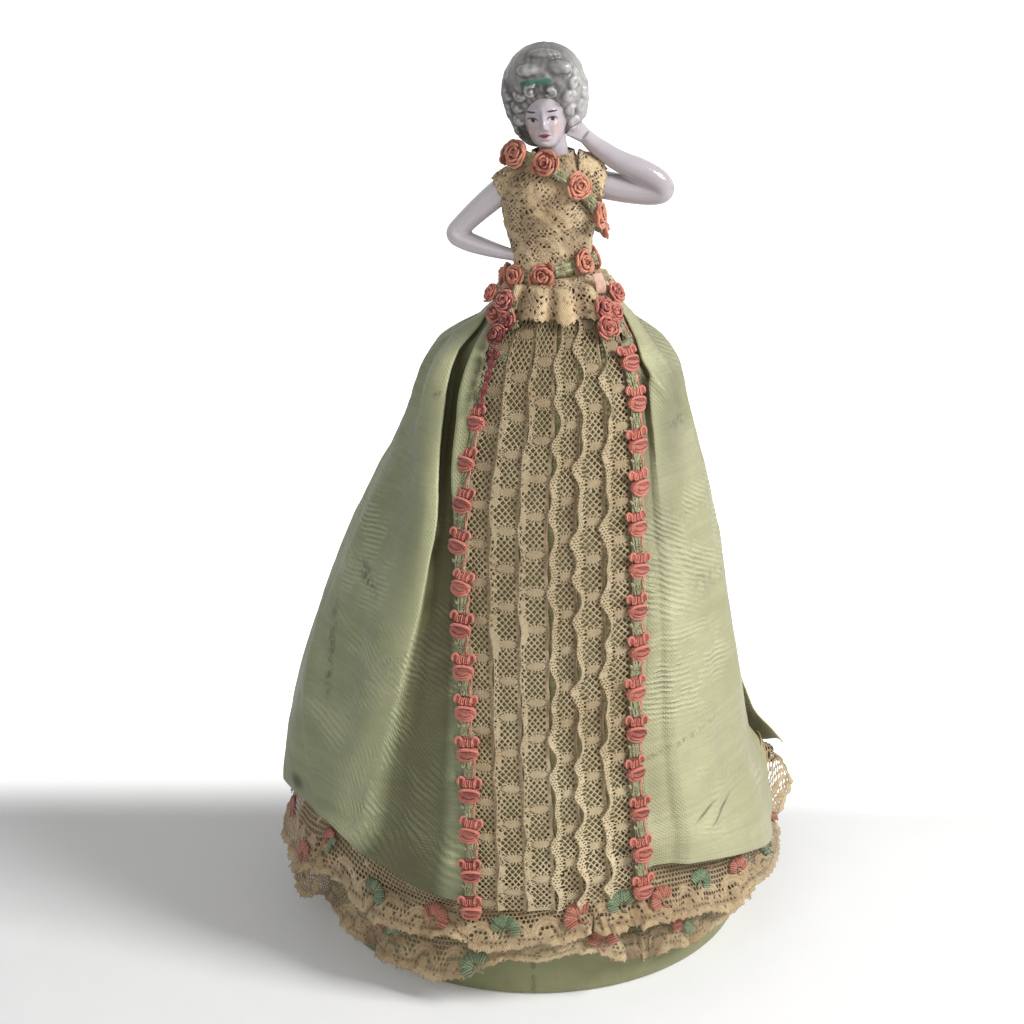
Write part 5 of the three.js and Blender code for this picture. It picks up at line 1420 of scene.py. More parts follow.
def trunk(angle, rise, stand):
    """Points that stand off the figure's trunk by stand; angle 0 is its front."""
    width, depth, sway, lean = (along(TRUNK, rise, column) for column in range(1, 5))
    x = FIGURE_X + sway + (width + stand) * np.sin(angle)
    y = -lean - (depth + stand) * np.cos(angle)
    return np.stack([x, y, FIGURE_SEAT + rise + 0 * x], -1)


# The braids on the figure: middle line in millimetres, round the body and back to its start
NECK_LINE = [
    (2.7, -10.4, 282.2), (8.4, -12.3, 278.6), (13.8, -12.8, 274.9), (18.2, -11.4, 270), (20.9, -8.0, 264.2),
    (22.8, -1, 258.5), (20.5, 8, 256.5), (13, 14, 260), (4, 14, 269), (-4, 10.5, 278), (-9.8, 4, 283),
    (-7.4, -4.2, 284.8), (-2.3, -7.4, 283.4),
]
WAIST_LINE = [
    (2.3, -12.4, 243.9), (9.1, -12.2, 246.2), (15.8, -9.2, 247.8), (20.3, 0, 246.8), (16, 9.6, 244.6),
    (5.5, 12.8, 242.8), (-5.5, 9, 241.6), (-10.2, -1, 241.2), (-9.2, -6.6, 242.2), (-4.4, -10.2, 243.2),
]
LINE_SAMPLES = 16  # from each point of a line to the next
BODY_MIDDLE_X = 5.5


def body_braid(name, line, shares, size, flip):
    """A rose braid on a closed line round the body; shares are its roses' places between the points."""
    roses, gauze = Trim(), Trim()
    rng = np.random.default_rng(len(line) + 501)
    closed = np.array(line[-2:] + line + line[:3], float)
    run = catmull(closed, LINE_SAMPLES)[2 * LINE_SAMPLES:(2 + len(line)) * LINE_SAMPLES]
    tangent = unit(np.roll(run, -1, 0) - np.roll(run, 1, 0))
    outward = run - [BODY_MIDDLE_X, 0, 0]
    outward[:, 2] = 0.3 * np.linalg.norm(outward[:, :2], axis=1)
    across = unit(np.cross(tangent, outward))
    out = np.cross(across, tangent)
    place = np.arange(len(run))[:, None]
    wide = np.linspace(-1.9, 1.9, 7)[None]
    pucker = 0.25 * noise(place * 0.7, wide, 2.0, 511)
    grid = run[:, None] + across[:, None] * wide[..., None] + out[:, None] * (pucker - 0.5)[..., None]
    points, faces, uv = thick_grid(np.concatenate([grid, grid[:1]]), 0.3)
    gauze.extend(points, [faces], uv, 0.6 + 0.3 * noise(uv[:, 0] * 100, uv[:, 1] * 100, 1.6, 512))

    def frame_at(share):
        i = int(share * LINE_SAMPLES) % len(run)
        return run[i], across[i], tangent[i], out[i]
    for k, share in enumerate(shares):
        rose_size, turn = size * rng.uniform(0.95, 1.1), flip + rng.uniform(-0.3, 0.3)
        roses.add(rosette(531 + k), frame_at(share), rose_size, turn, rng.uniform(-0.12, 0.12))
        following = shares[(k + 1) % len(shares)] + (len(line) if k + 1 == len(shares) else 0)
        tufts, _ = tape_gauze(521 + k)
        gauze.add(tufts, frame_at((share + following) / 2), 0.95, 0, rng.uniform(-0.1, 0.2))
    roses.build(f"{name}_roses", SALMON, "rose_braid", (f"{name}_braid",))
    gauze.build(f"{name}_gauze", LEAF, "rose_braid")


body_braid("neck", NECK_LINE, (0, 2, 4, 5.4, 7, 8.5, 9.8, 11.2), 1.05, PI)
body_braid("waist", WAIST_LINE, (0, 2, 3.6, 5.2, 7, 8.5), 1.02, 0)

# Roses on the hips: x, y, z, size, turn, shade; the lowest on the left are of darker ribbon
HIP_ROSES = {
    "left": [
        (-15.2, -6.5, 236.2, 0.85, 1.9, 0.5), (-10.6, -14.6, 235.6, 0.95, 0.4, 0.0),
        (-13.6, -13.6, 231.2, 0.95, 2.6, 0.1), (-10.2, -18.0, 229.8, 0.9, -0.6, -0.15),
        (-13.4, -20.6, 225.8, 0.9, 0.9, -0.3), (-14.6, -26.0, 220.4, 0.6, 0.2, -0.5),
    ],
    "right": [
        (27.2, -9.6, 237.2, 0.95, -0.7, 0.3), (22.8, -16.6, 233.6, 1.05, 1.3, -0.05),
        (26.6, -15.2, 231.8, 0.9, -0.3, 0.25), (23.8, -20.2, 228.2, 1.0, 2.8, 0.15),
    ],
}
BEAD_LINE = [(-14.4, -25, 222), (-15.6, -29.5, 217), (-17.4, -33.5, 211.5), (-19.4, -37.5, 205.5)]


def hip_roses(name):
    """The roses on one hip; on the left they run out into a gathered cord."""
    roses, gauze = Trim(), Trim()
    for k, (x, y, z, size, turn, shade) in enumerate(HIP_ROSES[name]):
        out = unit(np.array([x - BODY_MIDDLE_X, y * 1.2, 14.0]))
        right = unit(np.cross([0.0, 0.0, 1.0], out))
        here = (np.array([x, y, z]), right, np.cross(out, right), out)
        roses.add(rosette(601 + k), here, size, turn, shade - 0.15)
        if k % 2:
            tufts, _ = tape_gauze(611 + k)
            gauze.add(tufts, (here[0] - out * 1.2 + right * 2.5, *here[1:]), 0.8, turn + 1.2)
    if name == "left":
        knots = catmull(BEAD_LINE, 12)
        beads = 0.95 + 0.35 * np.sin(np.linspace(0, 9 * PI, len(knots)))
        roses.add([(tube(knots, beads, 10), -0.2)], (np.zeros(3), *np.eye(3)))
    roses.build(f"hip_roses_{name}_cluster", ROSE, "rose_braid", (f"hip_roses_{name}",))
    gauze.build(f"hip_gauze_{name}", LEAF, "rose_braid")


hip_roses("left")
hip_roses("right")


# Lace on the figure

CROCHET_THICKNESS = 0.42
BODICE_WIDTH, BODICE_DEPTH = 86, 39.4


def crochet(u, v, seed):
    """Crumpled ecru net with thicker worked patches; its holes are small and uneven."""
    wobble_u = u + 0.8 * noise(u, v, 3.0, seed)
    wobble_v = v + 0.8 * noise(u, v, 3.0, seed + 4)
    net = diamond_net(wobble_u, wobble_v, 1.25, 0.53 + 0.16 * noise(u, v, 5.0, seed + 6))
    worked = 0.4 * noise(u, v, 2.2, seed + 10) - 0.03
    bars = 0.2 - np.abs((wobble_v + 0.6 * noise(u, v, 9, seed + 12)) % 2.4 - 1.2)
    return np.maximum.reduce([net, worked, bars])


def bodice_net(u, v):
    return np.maximum.reduce([crochet(u, v, 701), 0.5 - v, v - 38.9])


def bodice(u, v):
    """The bodice on the trunk, crumpled, with a low seam round it and room for the hand on the waist."""
    angle = (u / BODICE_WIDTH - 0.5) * (TURN - 0.05)
    rise = 58.6 - v * 1.06
    ease = 0.6 + 0.9 * smooth(rise, 46, 55)
    over_hand = 2.4 * np.exp(-((angle + 0.72) / 0.42) ** 2 - ((rise - 21.5) / 5.0) ** 2)
    crumple = 0.5 * np.abs(noise(u, v, 4.0, 721)) + 0.35 * noise(u, v, 9, 722)
    seams = 0.5 * np.exp(-((rise - 33.5 - 1.5 * np.sin(angle * 2)) / 0.8) ** 2)
    return trunk(angle, rise, ease + crumple + seams + over_hand + 0.2)


def bodice_age(u, v):
    """How brown each spot of the bodice is."""
    return 0.16 + 0.3 * smooth(noise(u, v, 7, 711), 0, 0.6)


lace("bodice_net", TAN_COTTON, BODICE_WIDTH, BODICE_DEPTH, 0.45, bodice_net, bodice,
     ("bodice_lace",), thickness=CROCHET_THICKNESS, tone_and_fold_shade=bodice_age)

PEPLUM_WIDTH, PEPLUM_DEPTH = 122.0, 15.5
PEPLUM_REPEAT = 7.5


def peplum_field(u, v):
    """Over 0 on the frill's threads: net, two rows of ovals, a border and a scalloped edge."""
    half = PEPLUM_REPEAT / 2
    low_row = u % PEPLUM_REPEAT - half
    high_row = (u + half) % PEPLUM_REPEAT - half
    edge = PEPLUM_DEPTH - 0.4 - 0.9 * (np.abs(low_row) / half) ** 1.5 - 0.3 * np.cos(TURN * u / 1.5)
    motif = np.maximum(oval(low_row, v - 11.5, 1.3, 0.9), oval(high_row, v - 6.8, 0.8, 1.0))
    border = np.maximum(0.4 - np.abs(v - 13.8), 0.9 - v)
    return np.minimum(np.maximum.reduce([crochet(u, v, 731), motif, border]), edge - v)


def peplum_ruffle(u, v):
    angle = (u / PEPLUM_WIDTH - 0.5) * TURN
    return 1.5 * np.sin(angle * 13 + 2.6 * noise(u, 0 * v, 16, 741)) + 0.9 * noise(u, v, 6, 742)


def peplum_fold_shade(u, v):
    # Painted shade down between the ruffles.
    return 0.6 * smooth(-peplum_ruffle(u, v), -0.6, 1.6) * smooth(v, 2, 8)


def peplum(u, v):
    """The frill from the trunk over the flange and down onto the skirt."""
    angle = (u / PEPLUM_WIDTH - 0.5) * TURN
    side = smooth(np.abs(angle), 0.75, 1.3)
    share = v / PEPLUM_DEPTH
    top = trunk(angle, lerp(16.4, 14.2, side) + 1.2 * np.sin(angle), 1.5 + 0.5 * noise(u, v, 4, 743))
    low_place = lerp(8.4, 5.0, side) / SKIRT_HEIGHT + 0.006 * noise(u, v * 0, 9, 744) * share
    stand = lerp(3.3, 2.6, side)
    ruffle = peplum_ruffle(u, v)
    middle = bell(angle, -0.012, stand + 0.5 * ruffle)
    low = bell(angle, low_place, stand + 0.9 + ruffle)
    first = np.clip(share / 0.42, 0, 1)[:, None]
    second = np.clip((share - 0.42) / 0.58, 0, 1)[:, None]
    return np.where(share[:, None] < 0.42, lerp(top, middle, first), lerp(middle, low, second))


lace("peplum_frill", TAN_COTTON, PEPLUM_WIDTH, PEPLUM_DEPTH, 0.5, peplum_field, peplum,
     ("peplum_lace",), thickness=CROCHET_THICKNESS,
     tone_and_fold_shade=peplum_fold_shade)


# Porcelain figure: head, arms and hollow trunk in one glazed piece

def from_waist(points):
    return np.asarray(points, float) + np.array([FIGURE_X, 0, FIGURE_SEAT])


def rings_solid(rings):
    """A closed surface through rings, with each end closed over its middle."""
    rings = np.array(rings)
    return capped(rings, rings[0].mean(0), rings[-1].mean(0))


# Arms: middle line from the shoulder, and columns of share of its length and radius
HIP_ARM = [(-12.5, 0, 47.5), (-18.5, 0.5, 45), (-25.5, 1.8, 39), (-32, 3, 32.6), (-35, 3.2, 28.8),
           (-32, 1.8, 26.8), (-25, -1.2, 25), (-18, -3.6, 23.6), (-12.0, -5.0, 22.6)]
HIP_RADII = [(0, 4.7), (0.2, 4.4), (0.35, 4.0), (0.5, 3.6), (0.58, 3.5), (0.68, 3.3), (0.85, 2.5),
             (0.92, 2.1), (1, 2.0)]
RAISED_ARM = [(7, 0, 47.5), (15, 0.2, 46.6), (24, 0.4, 44.9), (31.5, 0.2, 44.0), (35.2, -0.4, 44.8),
              (34, -1.2, 48), (28.5, -1.6, 51.6), (20.5, -1.6, 55.2), (13.3, -1, 59.8), (8.8, -0.6, 63.6)]
RAISED_RADII = [(0, 4.9), (0.25, 4.8), (0.42, 4.4), (0.5, 4.1), (0.56, 4.1), (0.7, 3.9), (0.86, 3.3),
                (0.93, 3.0), (1, 2.5)]
CHIN = 63.4
HEAD_SWAY = -4.3
HAIR_LOW = FIGURE_SEAT + CHIN - 6
# Columns: rise over the chin, half width, half depth, sway, lean
FACE = [
    (-2.7, 1.8, 1.8, 0.1, 5.0), (-2.0, 3.5, 3.8, 0.1, 4.4), (-0.6, 4.9, 5.7, 0.05, 3.4),
    (1.6, 5.95, 7.0, 0, 2.6), (5, 6.7, 7.9, -0.1, 1.9), (9, 7.0, 8.3, -0.3, 1.5),
    (13, 6.9, 8.3, -0.4, 1.3), (17, 6.6, 8.0, -0.5, 1.1), (20, 5, 6.5, -0.5, 0.8),
]
HAIR = [
    (-4.6, 2.6, 2.4, -3.2, -5.6), (-2.6, 5.6, 4.2, -2.6, -5.2), (0.5, 9.0, 6.2, -1.4, -4.8),
    (4, 12.0, 8.0, -0.1, -4.2), (9, 14.0, 9.7, 0, -3.4), (14.5, 14.7, 11.4, -0.4, -2.0),
    (18, 14.4, 12.3, -0.5, -1.0), (21.5, 13.4, 12.7, -0.6, -0.4), (26, 11.0, 11.2, -0.6, -0.2),
    (29.3, 7.6, 7.8, -0.5, 0), (31, 3.6, 3.8, -0.4, 0), (31.5, 1.2, 1.3, -0.4, 0),
]


def head_point(stations, angle, rise, out=0.0):
    """Points that stand off the face or the hair by out; angle 0 is the front."""
    width, depth, sway, lean = (along(stations, rise, column) for column in range(1, 5))
    x = HEAD_SWAY + sway + (width + out) * np.sin(angle)
    y = -lean - (depth + out) * np.cos(angle)
    return from_waist(np.stack([x, y, CHIN + rise + 0 * x], -1))


def head_solid(stations, levels, columns):
    turn = np.linspace(0, TURN, columns, endpoint=False)
    return rings_solid([head_point(stations, turn, level) for level in levels])


def hand(wrist, toward, palm_up, spread, curl):
    """A small slip-cast hand: a flat palm, four fingers side by side and a thumb."""
    toward = np.asarray(toward, float) / np.linalg.norm(toward)
    palm_up = np.asarray(palm_up, float) - toward * (np.asarray(palm_up, float) @ toward)
    palm_up /= np.linalg.norm(palm_up)
    side = np.cross(toward, palm_up)
    wrist = np.asarray(wrist, float)
    palm = wrist + toward[None] * np.linspace(-1.0, 4.4, 8)[:, None]
    parts = [tube(palm, np.array([1.6, 1.8, 2.2, 2.5, 2.6, 2.5, 2.2, 1.5]), 14, 0.5, palm_up)]
    for k in range(4):
        offset = (k - 1.5) * 1.15
        length = (5.2, 6.0, 5.8, 4.6)[k]
        d = np.linspace(0, 1, 9)[:, None]
        path = wrist + toward * (3.0 + length * d * (1 - 0.2 * curl * d)) + side * (offset * (1 + spread * d))
        path = path - palm_up * (curl * length * 0.55 * d ** 2)
        parts.append(tube(path, np.linspace(0.82, 0.5, 9), 10))
    d = np.linspace(0, 1, 8)[:, None]
    path = wrist + toward * (0.6 + 3.6 * d) - side * (1.6 + 1.8 * d) - palm_up * (0.8 * d)
    parts.append(tube(path, np.linspace(0.95, 0.55, 8), 10))
    return parts


def hair_angle(x, rise):
    """The angle round the head at which the hair's front is x to the side."""
    return math.asin(max(-0.97, min(0.97, (x - along(HAIR, rise, 3)) / along(HAIR, rise))))


def curl_on_hair(angle, rise, radius, thick, start, sweep, out):
    """A C-shaped curl lying on the hair, with a small bead in its middle."""
    beside, above = 0.04, 0.6
    centre = head_point(HAIR, angle, rise, out)
    right = head_point(HAIR, angle + beside, rise) - head_point(HAIR, angle - beside, rise)
    up = head_point(HAIR, angle, rise + above) - head_point(HAIR, angle, rise - above)
    right, up = right / np.linalg.norm(right), up / np.linalg.norm(up)
    normal = np.cross(right, up)
    normal /= np.linalg.norm(normal)
    turn = np.radians(np.linspace(start, start + sweep, 18))
    reach = radius * np.linspace(1.0, 0.62, 18)
    ring = centre + right * (reach * np.cos(turn))[:, None] + up * (reach * np.sin(turn))[:, None]
    ring = ring - normal * (0.12 * reach ** 2)[:, None] * 0.6
    parts = [tube(ring, thick * np.linspace(0.75, 1.1, 18), 10, 1.0, normal)]
    parts.append(blob(centre + normal * 0.2, (thick * 0.9,) * 3, 10))
    return parts


# Columns: x from the head's middle, rise, radius, thickness, start and sweep in degrees, stand
FRONT_CURLS = [
    (-5.0, 17.2, 2.1, 1.0, 60, 250, 0.9), (1.2, 17.0, 1.7, 1.0, 200, 320, 1.3),
    (-8.8, 15.0, 1.9, 1.0, 150, 230, 0.5), (-13.0, 14.6, 1.8, 0.95, 100, 240, 0.1),
    (-9.6, 10.6, 1.8, 0.95, 120, 220, 0.4), (-12.2, 9.0, 1.7, 0.9, 60, 240, 0.2),
    (-9.0, 5.6, 1.7, 0.9, 120, 220, 0.3), (-9.2, 1.4, 1.6, 0.9, 80, 230, 0.2),
    (9.2, 19.3, 2.3, 1.15, -20, 250, 0.4), (7.4, 15.0, 2.0, 1.15, 0, 270, 0.9),
    (11.4, 10.8, 2.1, 1.1, 10, 270, 0.5), (8.0, 9.8, 1.6, 0.95, 40, 270, 0.6),
    (9.0, 5.4, 1.7, 1.0, 0, 270, 0.6), (12.8, 15.4, 1.9, 1.05, 30, 270, 0.2),
    (8.2, 1.6, 1.6, 1.0, 20, 270, 0.6), (11.4, 2.6, 1.5, 0.95, 0, 260, 0.4),
]
# Columns: rise, number of curls and first angle of each row
BACK_CURLS = [(2.2, 5, 1.35), (7.4, 7, 1.35), (12.6, 8, 1.35), (18.0, 8, 1.9), (23.0, 6, 1.9)]
# Columns: x, rise, size and stand
ROLLS = [
    (-5.4, 23.8, (5.4, 2.3, 2.3), 0.4), (3.4, 24.8, (5.2, 2.5, 2.7), 0.5),
    (9.6, 21.8, (2.4, 2.2, 3.0), 0.3), (-0.6, 28.7, (5.4, 3.0, 1.8), 0.1),
]


def hair_curls():
    """Curls round the face as the figure has them, and rows of the same round the sides and back."""
    parts = []
    for x, rise, *shape in FRONT_CURLS:
        parts += curl_on_hair(hair_angle(x, rise), rise, *shape)
    rng = np.random.default_rng(801)
    for row, (rise, count, first) in enumerate(BACK_CURLS):
        for k in range(count):
            angle = first + (k + 0.5 * (row % 2)) / count * (TURN - 2 * first) + rng.uniform(-0.05, 0.05)
            parts += curl_on_hair(angle, rise + rng.uniform(-0.5, 0.5), rng.uniform(1.9, 2.3), 1.15,
                                  rng.uniform(0, 360), 270, -0.8)
    return parts


def hair_rolls():
    """Soft swept puffs over the band and up the crown."""
    return [blob(head_point(HAIR, hair_angle(x, rise), rise, -1.7 + out), size, 20)
            for x, rise, size, out in ROLLS]


def remeshed(parts, voxel):
    """One even skin of quads round all the parts."""
    points, faces = join_parts(parts)
    rough = add_object("rough_figure", points, faces, COTTON.material)
    modifier = rough.modifiers.new("even", "REMESH")
    modifier.mode, modifier.voxel_size = "VOXEL", voxel * MM
    graph = bpy.context.evaluated_depsgraph_get()
    mesh = bpy.data.meshes.new_from_object(rough.evaluated_get(graph))
    bpy.data.objects.remove(rough)
    co = np.empty(len(mesh.vertices) * 3)
    mesh.vertices.foreach_get("co", co)
    corners = np.empty(len(mesh.loops), np.int32)
    mesh.loops.foreach_get("vertex_index", corners)
    bpy.data.meshes.remove(mesh)
    return co.reshape(-1, 3) / MM, corners.reshape(-1, 4)


def summed(where, rows, size):
    """For each of so many points, the sum of the rows that belong to it."""
    return np.stack([np.bincount(where, column, size) for column in rows.T], -1)


def smoothed(points, faces, rounds):
    """Each point drawn halfway to the middle of its neighbours, so many times."""
    sides = np.concatenate([faces[:, [k, (k + 1) % 4]] for k in range(4)])
    edges = np.unique(np.sort(sides, axis=1), axis=0)
    near = np.concatenate([edges, edges[:, ::-1]])
    count = np.bincount(near[:, 0], minlength=len(points))[:, None]
    for _ in range(rounds):
        total = summed(near[:, 0], points[near[:, 1]], len(points))
        points = lerp(points, total / np.maximum(count, 1), 0.5)
    return points


def vertex_normals(points, faces):
    diagonal_a = points[faces[:, 2]] - points[faces[:, 0]]
    diagonal_b = points[faces[:, 3]] - points[faces[:, 1]]
    face_normal = np.cross(diagonal_a, diagonal_b)
    return unit(summed(faces.ravel(), np.repeat(face_normal, 4, axis=0), len(points)))


FACE_MIDDLE = (FIGURE_X + HEAD_SWAY - 1.2, FIGURE_SEAT + CHIN + 7.9)
# Columns: middle of each eye and of each brow, across and up
EYES = [(-3.6, -0.7, -4.0, 2.0), (3.05, -0.45, 3.25, 2.15)]
FACE_ROLL = math.radians(5.5)


def face_axes(points):
    """Across and up in the face's own turned plane, from the middle between its eyes."""
    x, z = points[:, 0] - FACE_MIDDLE[0], points[:, 2] - FACE_MIDDLE[1]
    c, s = math.cos(FACE_ROLL), math.sin(FACE_ROLL)
    return x * c + z * s, z * c - x * s


def model_face(points, front):
    """Nose, brows, sockets, lids, lips, chin and cheeks, each a soft rise or hollow."""
    u, w = face_axes(points)

    def soft(cu, cw, su, sw):
        return np.exp(-((u - cu) / su) ** 2 - ((w - cw) / sw) ** 2)
    rise = 0.0
    for share, height, width in ((0.0, 0.45, 0.75), (0.35, 0.75, 0.75), (0.7, 1.1, 0.85), (1.0, 1.45, 1.0)):
        rise = rise + height * soft(0, 1.6 - 4.6 * share, width, 1.25) * 0.8
    nostrils = soft(-0.95, -3.5, 0.5, 0.5) + soft(0.95, -3.5, 0.5, 0.5)
    rise = rise + 0.35 * nostrils - 0.5 * soft(0, -4.75, 1.1, 0.45)
    for side, (eye_u, eye_w, brow_u, brow_w) in zip((-1, 1), EYES):
        rise = rise - 0.85 * soft(eye_u, eye_w, 1.7, 1.15) + 0.5 * soft(eye_u, eye_w, 1.0, 0.6)
        rise = rise + 0.3 * soft(brow_u, brow_w, 2.0, 0.6) + 0.35 * soft(side * 3.9, -3.4, 2.0, 1.8)
        rise = rise - 0.2 * soft(side * 2.3, -5.4, 0.5, 1.2)
    rise = rise + 0.5 * soft(0, -5.75, 1.5, 0.45) + 0.55 * soft(0, -6.85, 1.3, 0.5)
    rise = rise - 0.35 * soft(0, -6.28, 1.7, 0.2)
    rise = rise - 0.35 * soft(0, -7.9, 1.6, 0.5) + 0.5 * soft(0, -9.6, 1.7, 1.1)
    points = points.copy()
    points[:, 1] -= rise * front
    return points


def skin_parts():
    """The hollow trunk, arms, hands and face."""
    turn = np.linspace(0, TURN, 72, endpoint=False)
    levels = np.concatenate([[0, 0.8, 1.6], np.linspace(2.5, 66, 70)])
    outside = [trunk(turn, level, 0.0) for level in levels[::-1]]
    inside = [trunk(turn, level, -2.0) for level in np.linspace(0, 40, 30)]
    parts = [rings_solid(outside + inside)]
    for path, radii in ((HIP_ARM, HIP_RADII), (RAISED_ARM, RAISED_RADII)):
        smooth_path = catmull(from_waist(path), 8)
        distance = distances(smooth_path)
        parts.append(tube(smooth_path, along(radii, distance / distance[-1]), 28, 1.0, (0.1, -1, 0.15)))
    parts += hand(from_waist((-12.6, -5.2, 22.8)), (6, -3.0, -1.4), (-0.2, -1, 0.3), 0.12, 0.35)
    wrist = from_waist((9.6, -0.3, 62.6))
    raised = hand(wrist, (-4.2, 2.6, 4.2), (0.8, -0.9, 0.5), 0.1, 0.6)
    parts += [(wrist + (points - wrist) * 1.3, faces) for points, faces in raised]
    face_levels = np.concatenate([[-2.7, -2.4], np.linspace(-2.0, 20, 40)])
    parts.append(head_solid(FACE, face_levels, 48))
    return parts


def nearer_hair(points, hair, skin):
    """1 for each point that is nearer to the hair than to the skin, and 0 for the rest."""
    hair_tree = BVHTree.FromPolygons(*tree_input(hair))
    skin_tree = BVHTree.FromPolygons(*tree_input(skin))
    out = np.zeros(len(points))
    for i in np.flatnonzero(points[:, 2] > HAIR_LOW):
        spot = Vector(points[i])
        out[i] = hair_tree.find_nearest(spot)[3] < skin_tree.find_nearest(spot)[3]
    return out


def porcelain():
    skin = skin_parts()
    hair = [head_solid(HAIR, np.linspace(-4.6, 31.5, 60), 64), *hair_curls(), *hair_rolls()]
    points, faces = remeshed(skin + hair, 0.3)
    high = points[:, 2] > HAIR_LOW
    is_hair = smoothed(nearer_hair(points, hair, skin)[:, None], faces, 2)[:, 0]
    points = smoothed(points, faces, 4)
    points = lerp(points, smoothed(points, faces, 6), is_hair[:, None])

    _, w = face_axes(points)
    facing = smooth(-vertex_normals(points, faces)[:, 1], 0.05, 0.5) * (points[:, 1] < -3)
    points = model_face(points, facing * (1 - is_hair) * high * smooth(w, -12.5, -11))

    rel = points - from_waist([(HEAD_SWAY, 0, CHIN)])
    angle = np.arctan2(rel[:, 0], -rel[:, 1])
    strands = 0.05 * np.sin(angle * 24 + rel[:, 2] * 0.9 + 2.5 * noise(angle * 8, rel[:, 2], 6, 811))
    strands = strands + 0.2 * noise(angle * 12, rel[:, 2], 3.6, 812)
    bow = rel[:, 2] - 20.9 + 0.016 * (rel[:, 0] - 0.5) ** 2 - 0.03 * rel[:, 0]
    band = np.exp(-(bow / 1.2) ** 2)
    band = band * (rel[:, 1] < 0) * smooth(rel[:, 0], -10.0, -7.8) * (1 - smooth(rel[:, 0], -0.5, 4.2))
    normal = vertex_normals(points, faces)
    points = points + normal * (is_hair * (strands * (1 - band) + 0.4 * band))[:, None]
    relief = ((points - smoothed(points, faces, 24)) * normal).sum(1)
    height = points[:, 2] - FIGURE_SEAT
    trunk_x = points[:, 0] - FIGURE_X - along(TRUNK, height, 3)
    # Where the bodice lace covers the trunk; the finish paints shade there so that the lace's holes look
    # dark.
    shade_under_lace = smooth(points[:, 2], FIGURE_SEAT + 14, FIGURE_SEAT + 17)
    shade_under_lace = shade_under_lace * (1 - smooth(points[:, 2], FIGURE_SEAT + 54, FIGURE_SEAT + 56))
    shade_under_lace = shade_under_lace * (1 - smooth(np.abs(trunk_x) - along(TRUNK, height), -0.2, 0.8))
    values = {"hair": is_hair, "relief": relief, "band": band * is_hair, "shade_under_lace": shade_under_lace}
    piece("porcelain_glaze", points, faces, porcelain_finish(), "porcelain", ("porcelain_figure",),
          values=values)


def tree_input(parts):
    points, faces = join_parts(parts)
    return [tuple(p) for p in points], [tuple(f) for group in faces for f in group]


